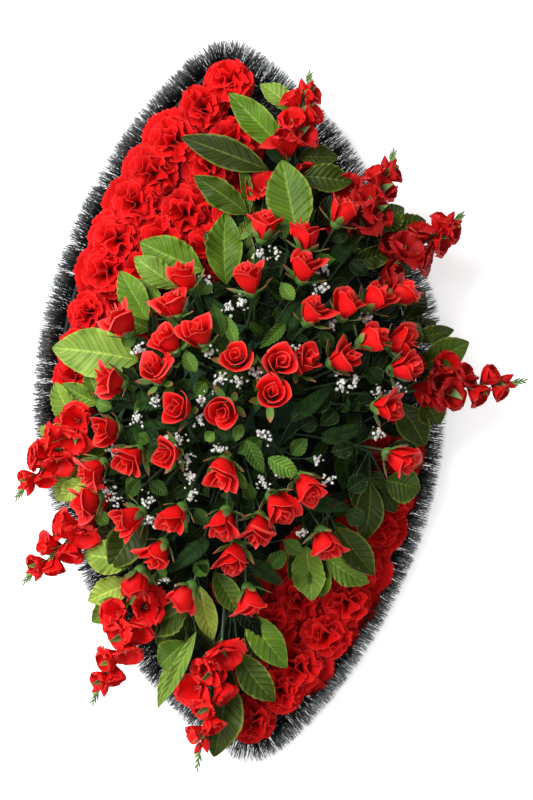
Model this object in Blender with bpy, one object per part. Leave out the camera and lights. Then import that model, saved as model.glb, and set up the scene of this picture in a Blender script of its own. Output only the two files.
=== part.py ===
"""An artificial funeral wreath, lying on its back with its flowers up.

+Z points out of the wreath's face and +Y to its top. The origin is the middle of the back board's
rear face, which the wreath lies on. Everything is in metres.

A pointed oval board carries a wired needle garland round its edge, rows of carnation heads in two
fields, and a foam block in the middle. Rose bushes stand in holes in the block's top, and gladiolus
stems and broad leaf sprays in holes in its side.
"""

import math
import random
from collections import namedtuple

import bpy
from mathutils import Quaternion, Vector
from mathutils.bvhtree import BVHTree

# The garland's core line: half sizes and the two powers of its pointed oval
CORE_HALF_WIDTH = 0.275
CORE_HALF_LENGTH = 0.5125
OVAL_POWERS = (1.8, 0.8)

# Back board and garland
GAP = 0.0003
BOARD_THICK = 0.018
CORE_RADIUS = 0.005
CORE_HEIGHT = 0.014
BOARD_INSET = 0.0051  # the core's inner corner, the gap, and 0.2 mm for its straight stretches
NEEDLE_LENGTH = 0.044
NEEDLE_WIDTH = 0.0035
NEEDLE_BANDS = 84
NEEDLE_FAN = (-14, 74)  # degrees above the board's plane, outwards

# Carnation heads
CARNATION_RADIUS = 0.035
CARNATION_HEIGHT = 0.056
CARNATION_STEP = 0.057
CARNATION_ROWS = (0.034, 0.102, 0.170)  # distances inside the core line
LEFT_ROWS_FROM = (-0.085, 0.045, 0.125)  # the height on the wreath that each left row starts from
RIGHT_ROWS_FROM = (-0.060, -0.195, -0.275)  # and that each right row ends at

# Foam block in the middle, and the roots that stand in it
BLOCK_RADII = (0.095, 0.115)
BLOCK_HEIGHT = 0.050
ROOT_DEPTH = 0.014
TRUNK_RADIUS = 0.0042
TRUNK_RING = 0.052
TRUNK_TOP = 0.100
BRANCH_RADIUS = 0.0030

# Roses: a bud's size, and the dome that the buds stand on
ROSE_LENGTH = 0.054
ROSE_RADIUS = 0.0235
DOME_TOP = 0.262
DOME_FALL = 1.35
DOME_EDGE = 0.158
ROSE_LIFTS = (0.0, 0.010, -0.010, 0.020, -0.020, 0.030, 0.040, 0.050)
ROSE_STEM = 0.0021

# Gladiolus and leaf heights over the board
GLADIOLUS_ROOT = 0.034
GLADIOLUS_HEIGHT = 0.118
LEAF_ROOT = 0.053
LEAF_HEIGHT = 0.100
LEAF_THICK = 0.0020

# The photograph: metres for one pixel at the board, its middle, the wreath's middle and lean
PIXEL = 0.001528
FRAME_MIDDLE = (266.5, 400.0)
WREATH_MIDDLE = (239.5, 400.5)
LEAN = math.radians(2.05)
EYE = 3.0

# Where the photograph shows each rose, in pixels, bush by bush
ROSE_BUSHES = {
    "rose_bush_middle": [(234, 355), (280, 362), (308, 364), (270, 395), (223, 407), (177, 410), (221, 472)],
    "rose_bush_top": [(250, 278), (265, 226), (305, 267), (308, 238), (342, 212)],
    "rose_bush_top_right": [(315, 310), (350, 306), (374, 298), (400, 292), (372, 336)],
    "rose_bush_right": [(345, 359), (401, 345), (388, 408), (404, 370)],
    "rose_bush_low_right": [(308, 488), (397, 463), (325, 543), (280, 507)],
    "rose_bush_low": [(258, 530), (224, 525), (236, 557), (251, 600), (186, 597)],
    "rose_bush_low_left": [(176, 520), (158, 555), (138, 583), (130, 518), (166, 460)],
    "rose_bush_left": [(130, 460), (105, 430), (92, 470), (88, 501), (110, 383), (150, 375)],
    "rose_bush_top_left": [(165, 340), (198, 330), (171, 303), (185, 275), (120, 322)],
}

# Where the photograph shows each gladiolus: the first floret and the tip, in pixels
GLADIOLI = {
    "gladiolus_top": ((288, 160), (310, 74)),
    "gladiolus_top_right": ((362, 236), (394, 152)),
    "gladiolus_high_right": ((398, 262), (462, 215)),
    "gladiolus_right": ((422, 390), (524, 381)),
    "gladiolus_left": ((80, 428), (17, 497)),
    "gladiolus_low_left": ((92, 518), (25, 581)),
    "gladiolus_lower_left": ((140, 612), (93, 702)),
    "gladiolus_bottom": ((222, 640), (197, 768)),
}

# Each leaf spray's hub, then its leaves: base, tip and width, in pixels
LEAF_SPRAYS = {
    "leaf_spray_top": (
        (300, 215),
        [(285, 150, 229, 93, 30), (293, 112, 260, 84, 22), (298, 157, 338, 157, 22),
         (302, 176, 352, 182, 28), (300, 238, 286, 166, 36)],
    ),
    "leaf_spray_top_left": (
        (258, 236),
        [(268, 170, 181, 137, 30), (248, 214, 194, 176, 28), (246, 224, 239, 156, 12),
         (226, 284, 226, 212, 36), (246, 280, 245, 226, 16)],
    ),
    "leaf_spray_upper_left": (
        (196, 296),
        [(203, 270, 140, 242, 42), (178, 288, 134, 257, 26),
         (164, 312, 136, 279, 24), (148, 320, 120, 271, 28)],
    ),
    "leaf_spray_left": (
        (128, 398),
        [(138, 360, 52, 348, 48), (100, 400, 86, 372, 20), (80, 424, 55, 382, 24), (66, 446, 40, 427, 22),
         (106, 440, 66, 452, 26)],
    ),
    "leaf_spray_low_left": (
        (128, 500),
        [(86, 478, 62, 500, 20), (144, 516, 110, 568, 36),
         (136, 560, 84, 554, 34), (132, 582, 88, 601, 28)],
    ),
    "leaf_spray_lower_left": (
        (188, 590),
        [(164, 568, 150, 602, 18), (188, 620, 157, 646, 34),
         (200, 586, 213, 640, 22), (186, 642, 160, 666, 28),
         (192, 636, 158, 708, 18)],
    ),
    "leaf_spray_bottom": (
        (232, 604),
        [(246, 614, 287, 668, 32), (238, 652, 275, 701, 30),
         (226, 674, 214, 757, 40), (214, 572, 238, 613, 24)],
    ),
    "leaf_spray_low_right": (
        (330, 516),
        [(306, 546, 312, 601, 34), (325, 556, 369, 583, 24),
         (322, 560, 321, 597, 26), (336, 527, 374, 575, 30)],
    ),
    "leaf_spray_lower_right": (
        (372, 452),
        [(370, 482, 363, 541, 28), (385, 480, 420, 490, 34),
         (398, 404, 425, 446, 32), (424, 398, 440, 424, 28)],
    ),
    "leaf_spray_right": (
        (388, 360),
        [(421, 366, 469, 342, 30), (412, 338, 454, 330, 18),
         (396, 346, 420, 324, 26), (402, 389, 453, 373, 10)],
    ),
    "leaf_spray_top_right": (
        (362, 266),
        [(389, 234, 426, 221, 24), (372, 226, 404, 208, 26), (352, 262, 392, 250, 22)],
    ),
}
LEAF_LIFTS = (0.0, 0.009, -0.008, 0.018, -0.014, 0.027, 0.036, 0.046, 0.056, 0.066, 0.076)

COLOURS = {
    "black": (0.012, 0.014, 0.013, 1),
    "needle": (0.020, 0.035, 0.030, 1),
    "red": (0.70, 0.010, 0.014, 1),
    "green": (0.10, 0.26, 0.035, 1),
    "stem": (0.05, 0.14, 0.03, 1),
    "foam": (0.03, 0.08, 0.035, 1),
    "white": (0.85, 0.85, 0.80, 1),
}

UP = Vector((0, 0, 1))
Piece = namedtuple("Piece", "points faces colours")
rng = random.Random(11)
placed = []


# The photograph's view

def seen(px, py, z):
    """The point at height z that the photograph shows at pixel (px, py)."""
    nearer = (EYE - z) / EYE
    x = ((px - FRAME_MIDDLE[0]) * nearer + FRAME_MIDDLE[0] - WREATH_MIDDLE[0]) * PIXEL
    y = ((FRAME_MIDDLE[1] - py) * nearer + WREATH_MIDDLE[1] - FRAME_MIDDLE[1]) * PIXEL
    return Vector((x * math.cos(LEAN) + y * math.sin(LEAN), y * math.cos(LEAN) - x * math.sin(LEAN), z))


# Curves

def oval(t):
    """The core line at t turns anticlockwise from +X."""
    angle = 2 * math.pi * t
    u = math.sin(angle)
    p, q = OVAL_POWERS
    x = CORE_HALF_WIDTH * max(0.0, 1 - abs(u) ** p) ** q
    return Vector((math.copysign(x, math.cos(angle)), CORE_HALF_LENGTH * u, 0))


def moved_in(points, distance):
    """A closed anticlockwise line moved inwards by a distance."""
    count = len(points)
    out = []
    for i, point in enumerate(points):
        along = (points[(i + 1) % count] - points[i - 1]).normalized()
        out.append(point + UP.cross(along) * distance)
    return out


def walk(points, step):
    """Points and directions a step apart along an open line."""
    found, left = [], 0.0
    for a, b in zip(points, points[1:]):
        length = (b - a).length
        at = left
        while at < length:
            found.append((a.lerp(b, at / length), (b - a).normalized()))
            at += step
        left = at - length
    return found


def even_oval(count):
    """Points of the core line at even distances, with the line's direction at each."""
    line = [oval(i / 1440) for i in range(1441)]
    length = sum((b - a).length for a, b in zip(line, line[1:]))
    return walk(line, length / (count + 1e-6))[:count]


def bow(start, handle, end, steps):
    """A quadratic curve from start to end, drawn towards handle."""
    shares = [i / steps for i in range(steps + 1)]
    return [start.lerp(handle, share).lerp(handle.lerp(end, share), share) for share in shares]


# Closed pieces

def loft(rings, start, end, *colours):
    """A closed skin of triangles over rings of points, from a start point to an end point.

    A ring may have twice the points of the one before. Colours are for the skin between the rings,
    from the start on, and the last one goes on to the end.
    """
    points, faces, paint = [start], [], []
    at = [1]
    for ring in rings:
        points += ring
        at.append(at[-1] + len(ring))
    points.append(end)
    bands = [[(0, at[0] + (j + 1) % len(rings[0]), at[0] + j) for j in range(len(rings[0]))]]
    for i in range(len(rings) - 1):
        a, b, count = at[i], at[i + 1], len(rings[i])
        wide = len(rings[i + 1]) // count
        band = []
        for j in range(count):
            k = (j + 1) % count
            first, last = b + j * wide, b + k * wide
            band.append((a + j, a + k, b + j * wide + 1 if wide == 2 else last))
            if wide == 2:
                band += [(a + j, first + 1, first), (a + k, last, first + 1)]
            else:
                band.append((a + j, last, first))
        bands.append(band)
    a, count = at[-2], len(rings[-1])
    bands.append([(a + j, a + (j + 1) % count, len(points) - 1) for j in range(count)])
    for i, band in enumerate(bands):
        faces += band
        paint += [colours[min(i, len(colours) - 1)]] * len(band)
    return Piece(points, faces, paint)


def frames(path, first):
    """The sideways direction at each point of a path, carried along without twisting."""
    sides = []
    for i in range(len(path)):
        along = (path[min(i + 1, len(path) - 1)] - path[max(i - 1, 0)]).normalized()
        first = (first - along * first.dot(along)).normalized()
        sides.append((along, first))
    return sides


def ring(middle, axis, side, levels, count):
    """A ring round an axis. Levels are the height and radius of its lobes, then of its hollows."""
    other = axis.cross(side)
    points = []
    for j in range(count):
        angle = 2 * math.pi * j / count
        height, radius = levels[2:] if j % 2 and len(levels) > 2 else levels[:2]
        points.append(middle + axis * height + (side * math.cos(angle) + other * math.sin(angle)) * radius)
    return points


def tube_rings(path, radii, sides, first):
    """The rings of a tube along a path."""
    return [ring(p, a, s, (0, r), sides) for p, r, (a, s) in zip(path, radii, frames(path, first))]


def tube(path, radii, sides, colour):
    """A closed tube along a path, with a radius at each point."""
    first = Vector((0.31, 0.17, 0.93)).cross(path[1] - path[0]).normalized()
    return loft(tube_rings(path, radii, sides, first), path[0], path[-1], colour)


def turned(base, axis, sides, levels, end, colour, spin=0.0):
    """A lobed round piece from its base point to its end height."""
    first = axis.orthogonal().normalized()
    side = first * math.cos(spin) + axis.cross(first) * math.sin(spin)
    rings = [ring(base, axis, side, level, sides) for level in levels]
    return loft(rings, base, base + axis * end, colour)


def blade(stations, tip, face, colour):
    """A thin closed leaf. Each station is its middle, half its width, and how far its edges rise."""
    points, faces = [], []
    ends = [middle for middle, _, _ in stations] + [tip]
    for i, (middle, half, rise) in enumerate(stations):
        along = (ends[i + 1] - ends[max(i - 1, 0)]).normalized()
        side = along.cross(face).normalized()
        up = side.cross(along)
        thick = max(LEAF_THICK / 2, min(half, 0.0014))
        edge = side * half
        raised = up * rise
        points += [middle - edge + raised, middle + up * thick, middle + edge + raised, middle - up * thick]
        if i:
            a, b = 4 * i - 4, 4 * i
            for j in range(4):
                k = (j + 1) % 4
                if j in (0, 3):
                    faces += [(a + j, a + k, b + j), (a + k, b + k, b + j)]
                else:
                    faces += [(a + j, a + k, b + k), (a + j, b + k, b + j)]
    a = 4 * len(stations) - 4
    points.append(tip)
    faces += [(a + j, a + (j + 1) % 4, a + 4) for j in range(4)]
    faces += [(0, 3, 1), (1, 3, 2)]
    return Piece(points, faces, [colour] * len(faces))


# Room between the sub-parts

def shape(piece):
    """A piece's search tree and its box."""
    tree = BVHTree.FromPolygons(piece.points, piece.faces)
    low = Vector([min(p[i] for p in piece.points) for i in range(3)])
    high = Vector([max(p[i] for p in piece.points) for i in range(3)])
    return tree, low, high


def touched(node, pieces, room=0.00025):
    """The other node that pieces come within a small room of, or nothing."""
    for piece in pieces:
        tree, low, high = shape(piece)
        for other, old, old_low, old_high in placed:
            apart = any(low[i] > old_high[i] + room or high[i] < old_low[i] - room for i in range(3))
            if other == node or apart:
                continue
            if tree.overlap(old) or any(old.find_nearest(p, room)[0] for p in piece.points):
                return other
    return None


def place(node, pieces):
    """Keeps pieces for a node."""
    placed.extend((node, *shape(piece)) for piece in pieces)
    sub_parts.setdefault(node, []).extend(pieces)


def settle(node, tries):
    """Places the first of several pieces that keeps clear, and returns its number or None.

    Each try is a piece and its free part, which keeps clear of the piece's own node too.
    """
    for number, (piece, free) in enumerate(tries):
        if not touched(node, [piece]) and not touched(None, [free]):
            place(node, [piece])
            placed.append((node + " free part", *shape(free)))
            return number
    return None


# Blender objects

def material(name):
    """A matt material of one of the wreath's colours."""
    made = bpy.data.materials.get(name)
    if not made:
        made = bpy.data.materials.new(name)
        made.use_nodes = True
        shader = made.node_tree.nodes["Principled BSDF"]
        shader.inputs["Base Color"].default_value = COLOURS[name]
        shader.inputs["Roughness"].default_value = 0.6
        shader.inputs["Metallic"].default_value = 0.0
    return made


def solid(name, piece, colours):
    """One piece as an object that has all its node's materials."""
    mesh = bpy.data.meshes.new(name)
    mesh.from_pydata([tuple(p) for p in piece.points], [], piece.faces)
    for colour in colours:
        mesh.materials.append(material(colour))
    mesh.polygons.foreach_set("material_index", [colours.index(colour) for colour in piece.colours])
    made = bpy.data.objects.new(name, mesh)
    bpy.context.scene.collection.objects.link(made)
    return made


def combine(name, pieces, operation="UNION"):
    """The first piece joined with the others, or cut by them, as one object."""
    colours = sorted({colour for piece in pieces for colour in piece.colours})
    whole = solid(name, pieces[0], colours)
    if len(pieces) == 1:
        return whole
    others = bpy.data.collections.new(name + "_pieces")
    bpy.context.scene.collection.children.link(others)
    for i, piece in enumerate(pieces[1:]):
        made = solid(f"{name}_piece_{i}", piece, colours)
        bpy.context.scene.collection.objects.unlink(made)
        others.objects.link(made)
    boolean = whole.modifiers.new("pieces", "BOOLEAN")
    boolean.operation = operation
    boolean.operand_type = "COLLECTION"
    boolean.collection = others
    graph = bpy.context.evaluated_depsgraph_get()
    mesh = bpy.data.meshes.new_from_object(whole.evaluated_get(graph))
    mesh.shade_smooth()
    mesh.set_sharp_from_angle(angle=math.radians(35))
    whole.modifiers.clear()
    whole.data = mesh
    for made in list(others.objects):
        bpy.data.objects.remove(made)
    bpy.data.collections.remove(others)
    return whole


# Board, garland and foam block

def plate(outline, low, high, colour):
    """A flat closed plate with an outline."""
    middle = sum(outline, Vector()) / len(outline)
    rings = [[Vector((p.x, p.y, z)) for p in outline] for z in (low, high)]
    return loft(rings, Vector((middle.x, middle.y, low)), Vector((middle.x, middle.y, high)), colour)


def board():
    """The black back board. Its edge holds the garland's core."""
    line = [point for point, _ in even_oval(50)]
    outline = moved_in(line, BOARD_INSET)
    return plate(outline, 0.0, BOARD_THICK, "black")


def garland():
    """A wire core all round, with needles that fan outwards and up, each from its own narrow face."""
    low, high = NEEDLE_FAN
    needles = 3
    rings, bands = [], []
    for i, (point, along) in enumerate(even_oval(NEEDLE_BANDS)):
        outwards = along.cross(UP)
        slack = (high - low) / (needles + 1)
        first = low + slack * (i % 2) * 0.6 + slack * 0.3 * rng.random()
        angles = [first + slack * j for j in range(needles + 1)] + [205]
        way = [outwards * math.cos(math.radians(a)) + UP * math.sin(math.radians(a)) for a in angles]
        middle = point + UP * CORE_HEIGHT
        for end in (-0.5, 0.5):
            rings.append([middle + along * end * NEEDLE_WIDTH + w * CORE_RADIUS for w in way])
        for j in range(needles):
            angle = math.radians((angles[j] + angles[j + 1]) / 2)
            out = outwards * math.cos(angle) + UP * math.sin(angle)
            sway = along * rng.uniform(-0.013, 0.013)
            tip = middle + out * (NEEDLE_LENGTH * rng.uniform(0.9, 1.0)) + sway
            tip.z = max(tip.z, 0.002)
            bands.append((2 * i, j, tip))
    count = len(rings[0])
    points = [p for ring in rings for p in ring]
    tips = {(i, j): tip for i, j, tip in bands}
    faces = []
    for i in range(len(rings)):
        a, b = i * count, (i + 1) % len(rings) * count
        for j in range(count):
            k = (j + 1) % count
            corners = (a + j, b + j, b + k, a + k)
            if (i, j) in tips:
                points.append(tips[i, j])
                faces += [(corners[m - 1], corners[m], len(points) - 1) for m in range(4)]
            else:
                faces += [corners[:3], (corners[0], corners[2], corners[3])]
    return Piece(points, faces, ["needle"] * len(faces))


def block():
    """The oval foam block that the stems stand in."""
    turns = [2 * math.pi * i / 20 for i in range(20)]
    outline = [Vector((BLOCK_RADII[0] * math.cos(a), BLOCK_RADII[1] * math.sin(a), 0)) for a in turns]
    return plate(outline, BOARD_THICK + GAP, BOARD_THICK + GAP + BLOCK_HEIGHT, "foam")


def root(node, mouth, outwards, radius):
    """The two points of a stem's root in the block. It keeps the cutter of the root's hole."""
    foot = mouth - outwards * ROOT_DEPTH
    end = mouth + outwards * 0.007
    cutters.append(tube([foot - outwards * GAP, end], [radius + 0.0006] * 2, 4, "foam"))
    place(node, [tube([foot, end], [radius] * 2, 4, "stem")])
    return end


def side_root(node, target, height, radius):
    """A root in the block's side, towards a target. It returns the root's end and its direction."""
    angle = math.atan2(target.y / BLOCK_RADII[1], target.x / BLOCK_RADII[0])
    mouth = Vector((BLOCK_RADII[0] * math.cos(angle), BLOCK_RADII[1] * math.sin(angle), height))
    outwards = Vector((target.x, target.y, 0)).normalized()
    return root(node, mouth, outwards, radius), outwards


# Carnations

def carnation_rows():
    """Each row's node name and where its heads stand, from the outer row in."""
    fine = [oval(i / 1440) for i in range(1440)]
    rows = {}
    for number, distance in enumerate(CARNATION_ROWS):
        # The right half, up from the bottom tip. The left field is the same line turned half round.
        inner = moved_in(fine, distance)[1080:] + moved_in(fine, distance)[:361]
        half = [p for p in inner if p.x >= 0 and min((p - q).length for q in fine[::8]) > distance - 0.002]
        spots = [p for p, _ in walk(half, CARNATION_STEP)]
        left = [-p for p in spots if -p.y > LEFT_ROWS_FROM[number]]
        rows[f"carnations_left_row_{number + 1}"] = left
        rows[f"carnations_right_row_{number + 1}"] = [p for p in spots if p.y < RIGHT_ROWS_FROM[number]]
    return rows


def carnation(spot, size, spin):
    """One ruffled head on its short foot."""
    radius, height = CARNATION_RADIUS * size, CARNATION_HEIGHT * size
    levels = [
        (0.0, radius * 0.24),
        (height * 0.48, radius, height * 0.62, radius * 0.92),
        (height * 0.72, radius * 0.50, height * 0.98, radius * 0.58),
    ]
    return turned(spot, UP, 10, levels, height * 0.80, "red", spin)


def make_carnations():
    for node, spots in carnation_rows().items():
        for spot in spots:
            spot = spot + UP * (BOARD_THICK + GAP)
            spin = rng.uniform(0, math.pi)
            sizes = [1.02 - 0.03 * i for i in range(8)]
            heads = [carnation(spot, size, spin) for size in sizes]
            place(node, [next(head for head in heads if not touched(node, [head]))])


# Roses

def rose(line, size, spin):
    """One half open rose on its stem, in one skin: stem, green calyx and red petals."""
    length, radius = ROSE_LENGTH * size, ROSE_RADIUS * size
    start = (line[1] - line[0]).orthogonal().normalized()
    start.rotate(Quaternion(line[1] - line[0], spin))
    rings = tube_rings(line, [ROSE_STEM] * len(line), 4, start)
    axis, side = frames(line, start)[-1]
    levels = [
        (length * 0.26, radius * 0.84),
        (length * 0.96, radius * 1.10, length * 0.84, radius * 0.84),
        (length * 0.76, radius * 0.56, length * 0.82, radius * 0.46),
    ]
    petals = [ring(line[-1], axis, side, level, 8) for level in levels]
    top = line[-1] + axis * length
    whole = loft(rings + petals, line[0], top, *["green"] * (len(line) + 1), "red")
    return whole, loft(petals, line[-1], top, "red")


def rose_place(px, py, lift):
    """A rose's middle on the dome, and the way it faces."""
    spot = seen(px, py, 0.20)
    reach = math.hypot(spot.x, spot.y)
    middle = seen(px, py, max(DOME_EDGE, DOME_TOP - DOME_FALL * reach**2) + lift)
    tilt = math.radians(min(84.0, 90 * (reach / 0.19) ** 1.1))
    flat = Vector((middle.x, middle.y, 0)).normalized()
    return middle, flat * math.sin(tilt) + UP * math.cos(tilt)


def rose_line(start, px, py, lift):
    """The line of a rose's stem, from its trunk to the foot of its calyx."""
    middle, axis = rose_place(px, py, lift)
    base = middle - axis * ROSE_LENGTH * 0.5
    return bow(start, base - axis * (base - start).length * 0.45, base, 2)


def make_roses():
    """Each bush's trunk, and its roses on stems from different heights of the trunk."""
    for node, pixels in ROSE_BUSHES.items():
        middle = sum((rose_place(*pixel, 0)[0] for pixel in pixels), Vector()) / len(pixels)
        flat = Vector((middle.x, middle.y, 0))
        mouth = flat.normalized() * (TRUNK_RING if flat.length > 0.06 else 0)
        end = root(node, mouth + UP * (BOARD_THICK + GAP + BLOCK_HEIGHT), UP, TRUNK_RADIUS)
        top = Vector((mouth.x * 1.12 + 0.003, mouth.y * 1.12 - 0.004, TRUNK_TOP))
        place(node, [tube([end - UP * 0.003, top], [TRUNK_RADIUS * 0.9] * 2, 4, "stem")])
        for i, pixel in enumerate(pixels):
            start = end.lerp(top, (i + 1) / (len(pixels) + 0.6))
            size, spin = rng.uniform(0.94, 1.06), rng.uniform(0, math.pi)
            lines = [rose_line(start, *pixel, lift) for lift in ROSE_LIFTS]
            chosen = settle(node, [rose(line, size, spin) for line in lines])
            if chosen is None:
                print(f"{node}: no room for rose {i}")
            else:
                stems[node].append((lines[chosen], rose_place(*pixel, ROSE_LIFTS[chosen])[1]))


def small_leaf(start, way, face):
    """A small keeled leaf with its foot in a stem."""
    side = way.cross(face).normalized()
    up = side.cross(way)
    rings = []
    for reach, half, deep in ((0.0, 0.0011, 0.0016), (0.007, 0.0050, 0.0018), (0.021, 0.0140, 0.0018)):
        middle = start + way * reach
        rings.append([middle - side * half, middle + side * half, middle - up * deep])
    tip = start + way * 0.050 - UP * 0.004
    whole = loft([rings[0], rings[2]], start - up * 0.0005, tip, "green")
    return whole, loft(rings[1:], start + way * 0.007, tip, "green")


def make_rose_leaves():
    """Small leaves on each rose stem, turned about the stem to where there is room."""
    for node, lines in stems.items():
        for i, (line, _) in enumerate(lines):
            for at in (1,) if i % 3 else (1, 0):
                start = line[at].lerp(line[at + 1], 0.5)
                along = (line[at + 1] - line[at]).normalized()
                side = along.orthogonal().normalized()
                first = rng.uniform(0, 2 * math.pi)
                tries = []
                for k in range(8):
                    angle = first + k * math.pi / 4
                    out = side * math.cos(angle) + along.cross(side) * math.sin(angle)
                    way = (out * 0.8 + along * 0.5 + UP * 0.2).normalized()
                    tries.append(small_leaf(start, way, UP + out * 0.3))
                settle(node, tries)


def white_floret(start, spot):
    """A small white star of petals on a thin stalk, in one skin."""
    axis = (spot - start).normalized()
    side = axis.orthogonal().normalized()
    foot = spot - axis * 0.004
    rings = [ring(start, axis, side, (0, 0.0011), 3), ring(foot, axis, side, (0, 0.0011), 3)]
    petals = ring(spot, axis, side, (0.0, 0.0080, 0.002, 0.0045), 6)
    end = spot + axis * 0.004
    return loft(rings + [petals], start, end, "stem", "stem", "white"), loft([petals], foot, end, "white")


def make_gypsophila():
    """Small white florets that stand between a bush's roses."""
    for node, lines in stems.items():
        for i in range(min(len(lines) - 1, 2)):
            (a, axis_a), (b, axis_b) = lines[i], lines[i + 1]
            out = (axis_a + axis_b).normalized()
            spot = a[-1].lerp(b[-1], 0.5) + out * 0.030
            shifts = (0.0, -0.02, 0.012, -0.035)
            start = a[0].lerp(a[1], 0.7 + 0.1 * i)
            settle(node, [white_floret(start, spot + out * shift) for shift in shifts])


# Gladioli

def floret(base, axis, size, spin):
    """One open gladiolus floret with six petals round a deep throat."""
    first = axis.orthogonal().normalized()
    side = first * math.cos(spin) + axis.cross(first) * math.sin(spin)
    rings = [
        ring(base, axis, side, (0, 0.0012), 3),
        ring(base, axis, side, (size * 0.46, size * 0.24), 6),
        ring(base, axis, side, (size * 0.80, size * 0.36, size, size * 0.64), 12),
    ]
    return loft(rings, base, base + axis * size * 0.42, "red")


def bud(base, axis, size, colour):
    """A closed bud."""
    return turned(base, axis, 4, [(size * 0.45, size * 0.26), (size * 0.8, size * 0.14)], size, colour)


def make_gladioli():
    """Each gladiolus: a stem from the block's side, then florets, buds and green tips along its spike."""
    for node, (first, last) in GLADIOLI.items():
        start, tip = seen(*first, GLADIOLUS_HEIGHT), seen(*last, GLADIOLUS_HEIGHT - 0.012)
        end, outwards = side_root(node, start, GLADIOLUS_ROOT, BRANCH_RADIUS)
        rise = bow(end - outwards * 0.003, end + outwards * 0.03 + UP * 0.05, start, 2)
        spike = [start.lerp(tip, share) for share in (0.5, 1.0)]
        place(node, [tube(rise + spike, [BRANCH_RADIUS * 0.9] * 3 + [0.0022, 0.0009], 4, "stem")])
        along = (tip - start).normalized()
        side = along.cross(UP).normalized()
        for i, share in enumerate((0.02, 0.17, 0.33, 0.49, 0.64, 0.78, 0.90)):
            foot = start.lerp(tip, share)
            sway = side * (1 if i % 2 else -1)
            if i < 5:
                axis = (sway * 0.8 + UP * 0.6 + along * 0.5).normalized()
                piece = floret(foot, axis, 0.040 - 0.0035 * i, i / 2)
            else:
                colour = "red" if i == 5 else "stem"
                piece = bud(foot, (sway * 0.5 + along + UP * 0.2).normalized(), 0.064 - 0.007 * i, colour)
            if not touched(node, [piece]):
                place(node, [piece])


# Broad leaves

def leaf_start(line, base, tip):
    """The point of a spray's stem from which a leaf's stalk is short and hardly bends at the base."""
    spots = [a.lerp(b, share) for a, b in zip(line, line[1:]) for share in (0.3, 0.6, 0.9)]

    def cost(spot):
        bend = (base - spot).angle(tip - base)
        return (base - spot).length + 0.1 * max(0.0, bend - 0.9)

    return min(spots[2:], key=cost) + Vector((0.31, -0.23, 0.17)) * 0.001


def make_leaf_sprays():
    """Each spray: a stem from the block's side to its hub, and stalked leaves along the stem's end."""
    for node, (hub_pixel, leaves) in LEAF_SPRAYS.items():
        hub = seen(*hub_pixel, LEAF_HEIGHT)
        end, outwards = side_root(node, hub, LEAF_ROOT, BRANCH_RADIUS)
        line = bow(end - outwards * 0.003, end + outwards * 0.03 + UP * 0.035, hub, 3)
        place(node, [tube(line, [BRANCH_RADIUS * 0.9] * len(line), 4, "stem")])
        for i, (bx, by, tx, ty, wide) in enumerate(leaves):
            start = leaf_start(line, seen(bx, by, LEAF_HEIGHT), seen(tx, ty, LEAF_HEIGHT))
            half = wide * PIXEL / 2
            tries = []
            for lift in LEAF_LIFTS:
                base, tip = seen(bx, by, LEAF_HEIGHT + lift), seen(tx, ty, LEAF_HEIGHT - 0.008 + lift)
                stations = [(start, 0.0014, 0.0), (base, 0.0020, 0.0)]
                for share, part, arch in ((0.26, 0.84, 0.007), (0.54, 1.0, 0.008), (0.82, 0.58, 0.005)):
                    stations.append((base.lerp(tip, share) + UP * arch, half * part, half * part * 0.25))
                tries.append((blade(stations, tip, UP, "green"), blade(stations[2:], tip, UP, "green")))
            if settle(node, tries) is None:
                print(f"{node}: no room for leaf {i}")


for old in list(bpy.data.objects):
    bpy.data.objects.remove(old)

sub_parts = {}
cutters = []
stems = {node: [] for node in ROSE_BUSHES}
place("back_board", [board()])
place("needle_garland", [garland()])
make_carnations()
place("foam_block_whole", [block()])
make_gladioli()
make_roses()
make_leaf_sprays()
make_rose_leaves()
make_gypsophila()

for node, pieces in sub_parts.items():
    if node != "foam_block_whole":
        combine(node, pieces)
combine("foam_block", [block()] + cutters, "DIFFERENCE")
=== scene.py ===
"""Looks of the funeral wreath: fine petals, veined leaves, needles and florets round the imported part.

Everything is in metres in the part's own frame. The layout's values and rules repeat those of the
part's source, and a piece that had several possible places there is found by the loaded mesh.
"""

import math
import random

import bpy
import numpy as np
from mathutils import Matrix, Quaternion, Vector
from mathutils.kdtree import KDTree


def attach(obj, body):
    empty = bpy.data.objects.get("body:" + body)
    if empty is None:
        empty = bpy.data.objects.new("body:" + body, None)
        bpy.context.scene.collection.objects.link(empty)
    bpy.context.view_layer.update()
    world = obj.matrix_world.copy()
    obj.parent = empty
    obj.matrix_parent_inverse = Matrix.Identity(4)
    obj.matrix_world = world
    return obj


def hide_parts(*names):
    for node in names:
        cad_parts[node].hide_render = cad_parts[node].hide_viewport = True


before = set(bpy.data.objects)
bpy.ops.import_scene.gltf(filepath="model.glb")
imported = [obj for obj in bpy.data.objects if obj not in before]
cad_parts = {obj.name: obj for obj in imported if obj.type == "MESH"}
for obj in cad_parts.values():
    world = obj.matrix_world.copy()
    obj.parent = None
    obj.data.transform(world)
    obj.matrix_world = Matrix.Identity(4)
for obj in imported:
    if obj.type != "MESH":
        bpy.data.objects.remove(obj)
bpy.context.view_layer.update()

# The core line and the carnation rows
CORE_HALF_WIDTH = 0.275
CORE_HALF_LENGTH = 0.5125
OVAL_POWERS = (1.8, 0.8)
OVAL_POINTS = 1440
CORE_POINTS = 240
FRINGE_POINTS = 1300
GAP = 0.0003
BOARD_THICK = 0.018
CORE_HEIGHT = 0.014
CORE_RADIUS = 0.0050
NEEDLE_LENGTH = 0.044
NEEDLE_COUNT = 12600
NEEDLE_RADII = (0.00046, 0.00036)
# Degrees above the board between which the low needles stand, and the raised ones
LOW_NEEDLES = (-13, 30)
LOW_SHARE = 0.55
RAISED_NEEDLES = (20, 56)
RAISED_WHERE_BARE = 165
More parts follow.
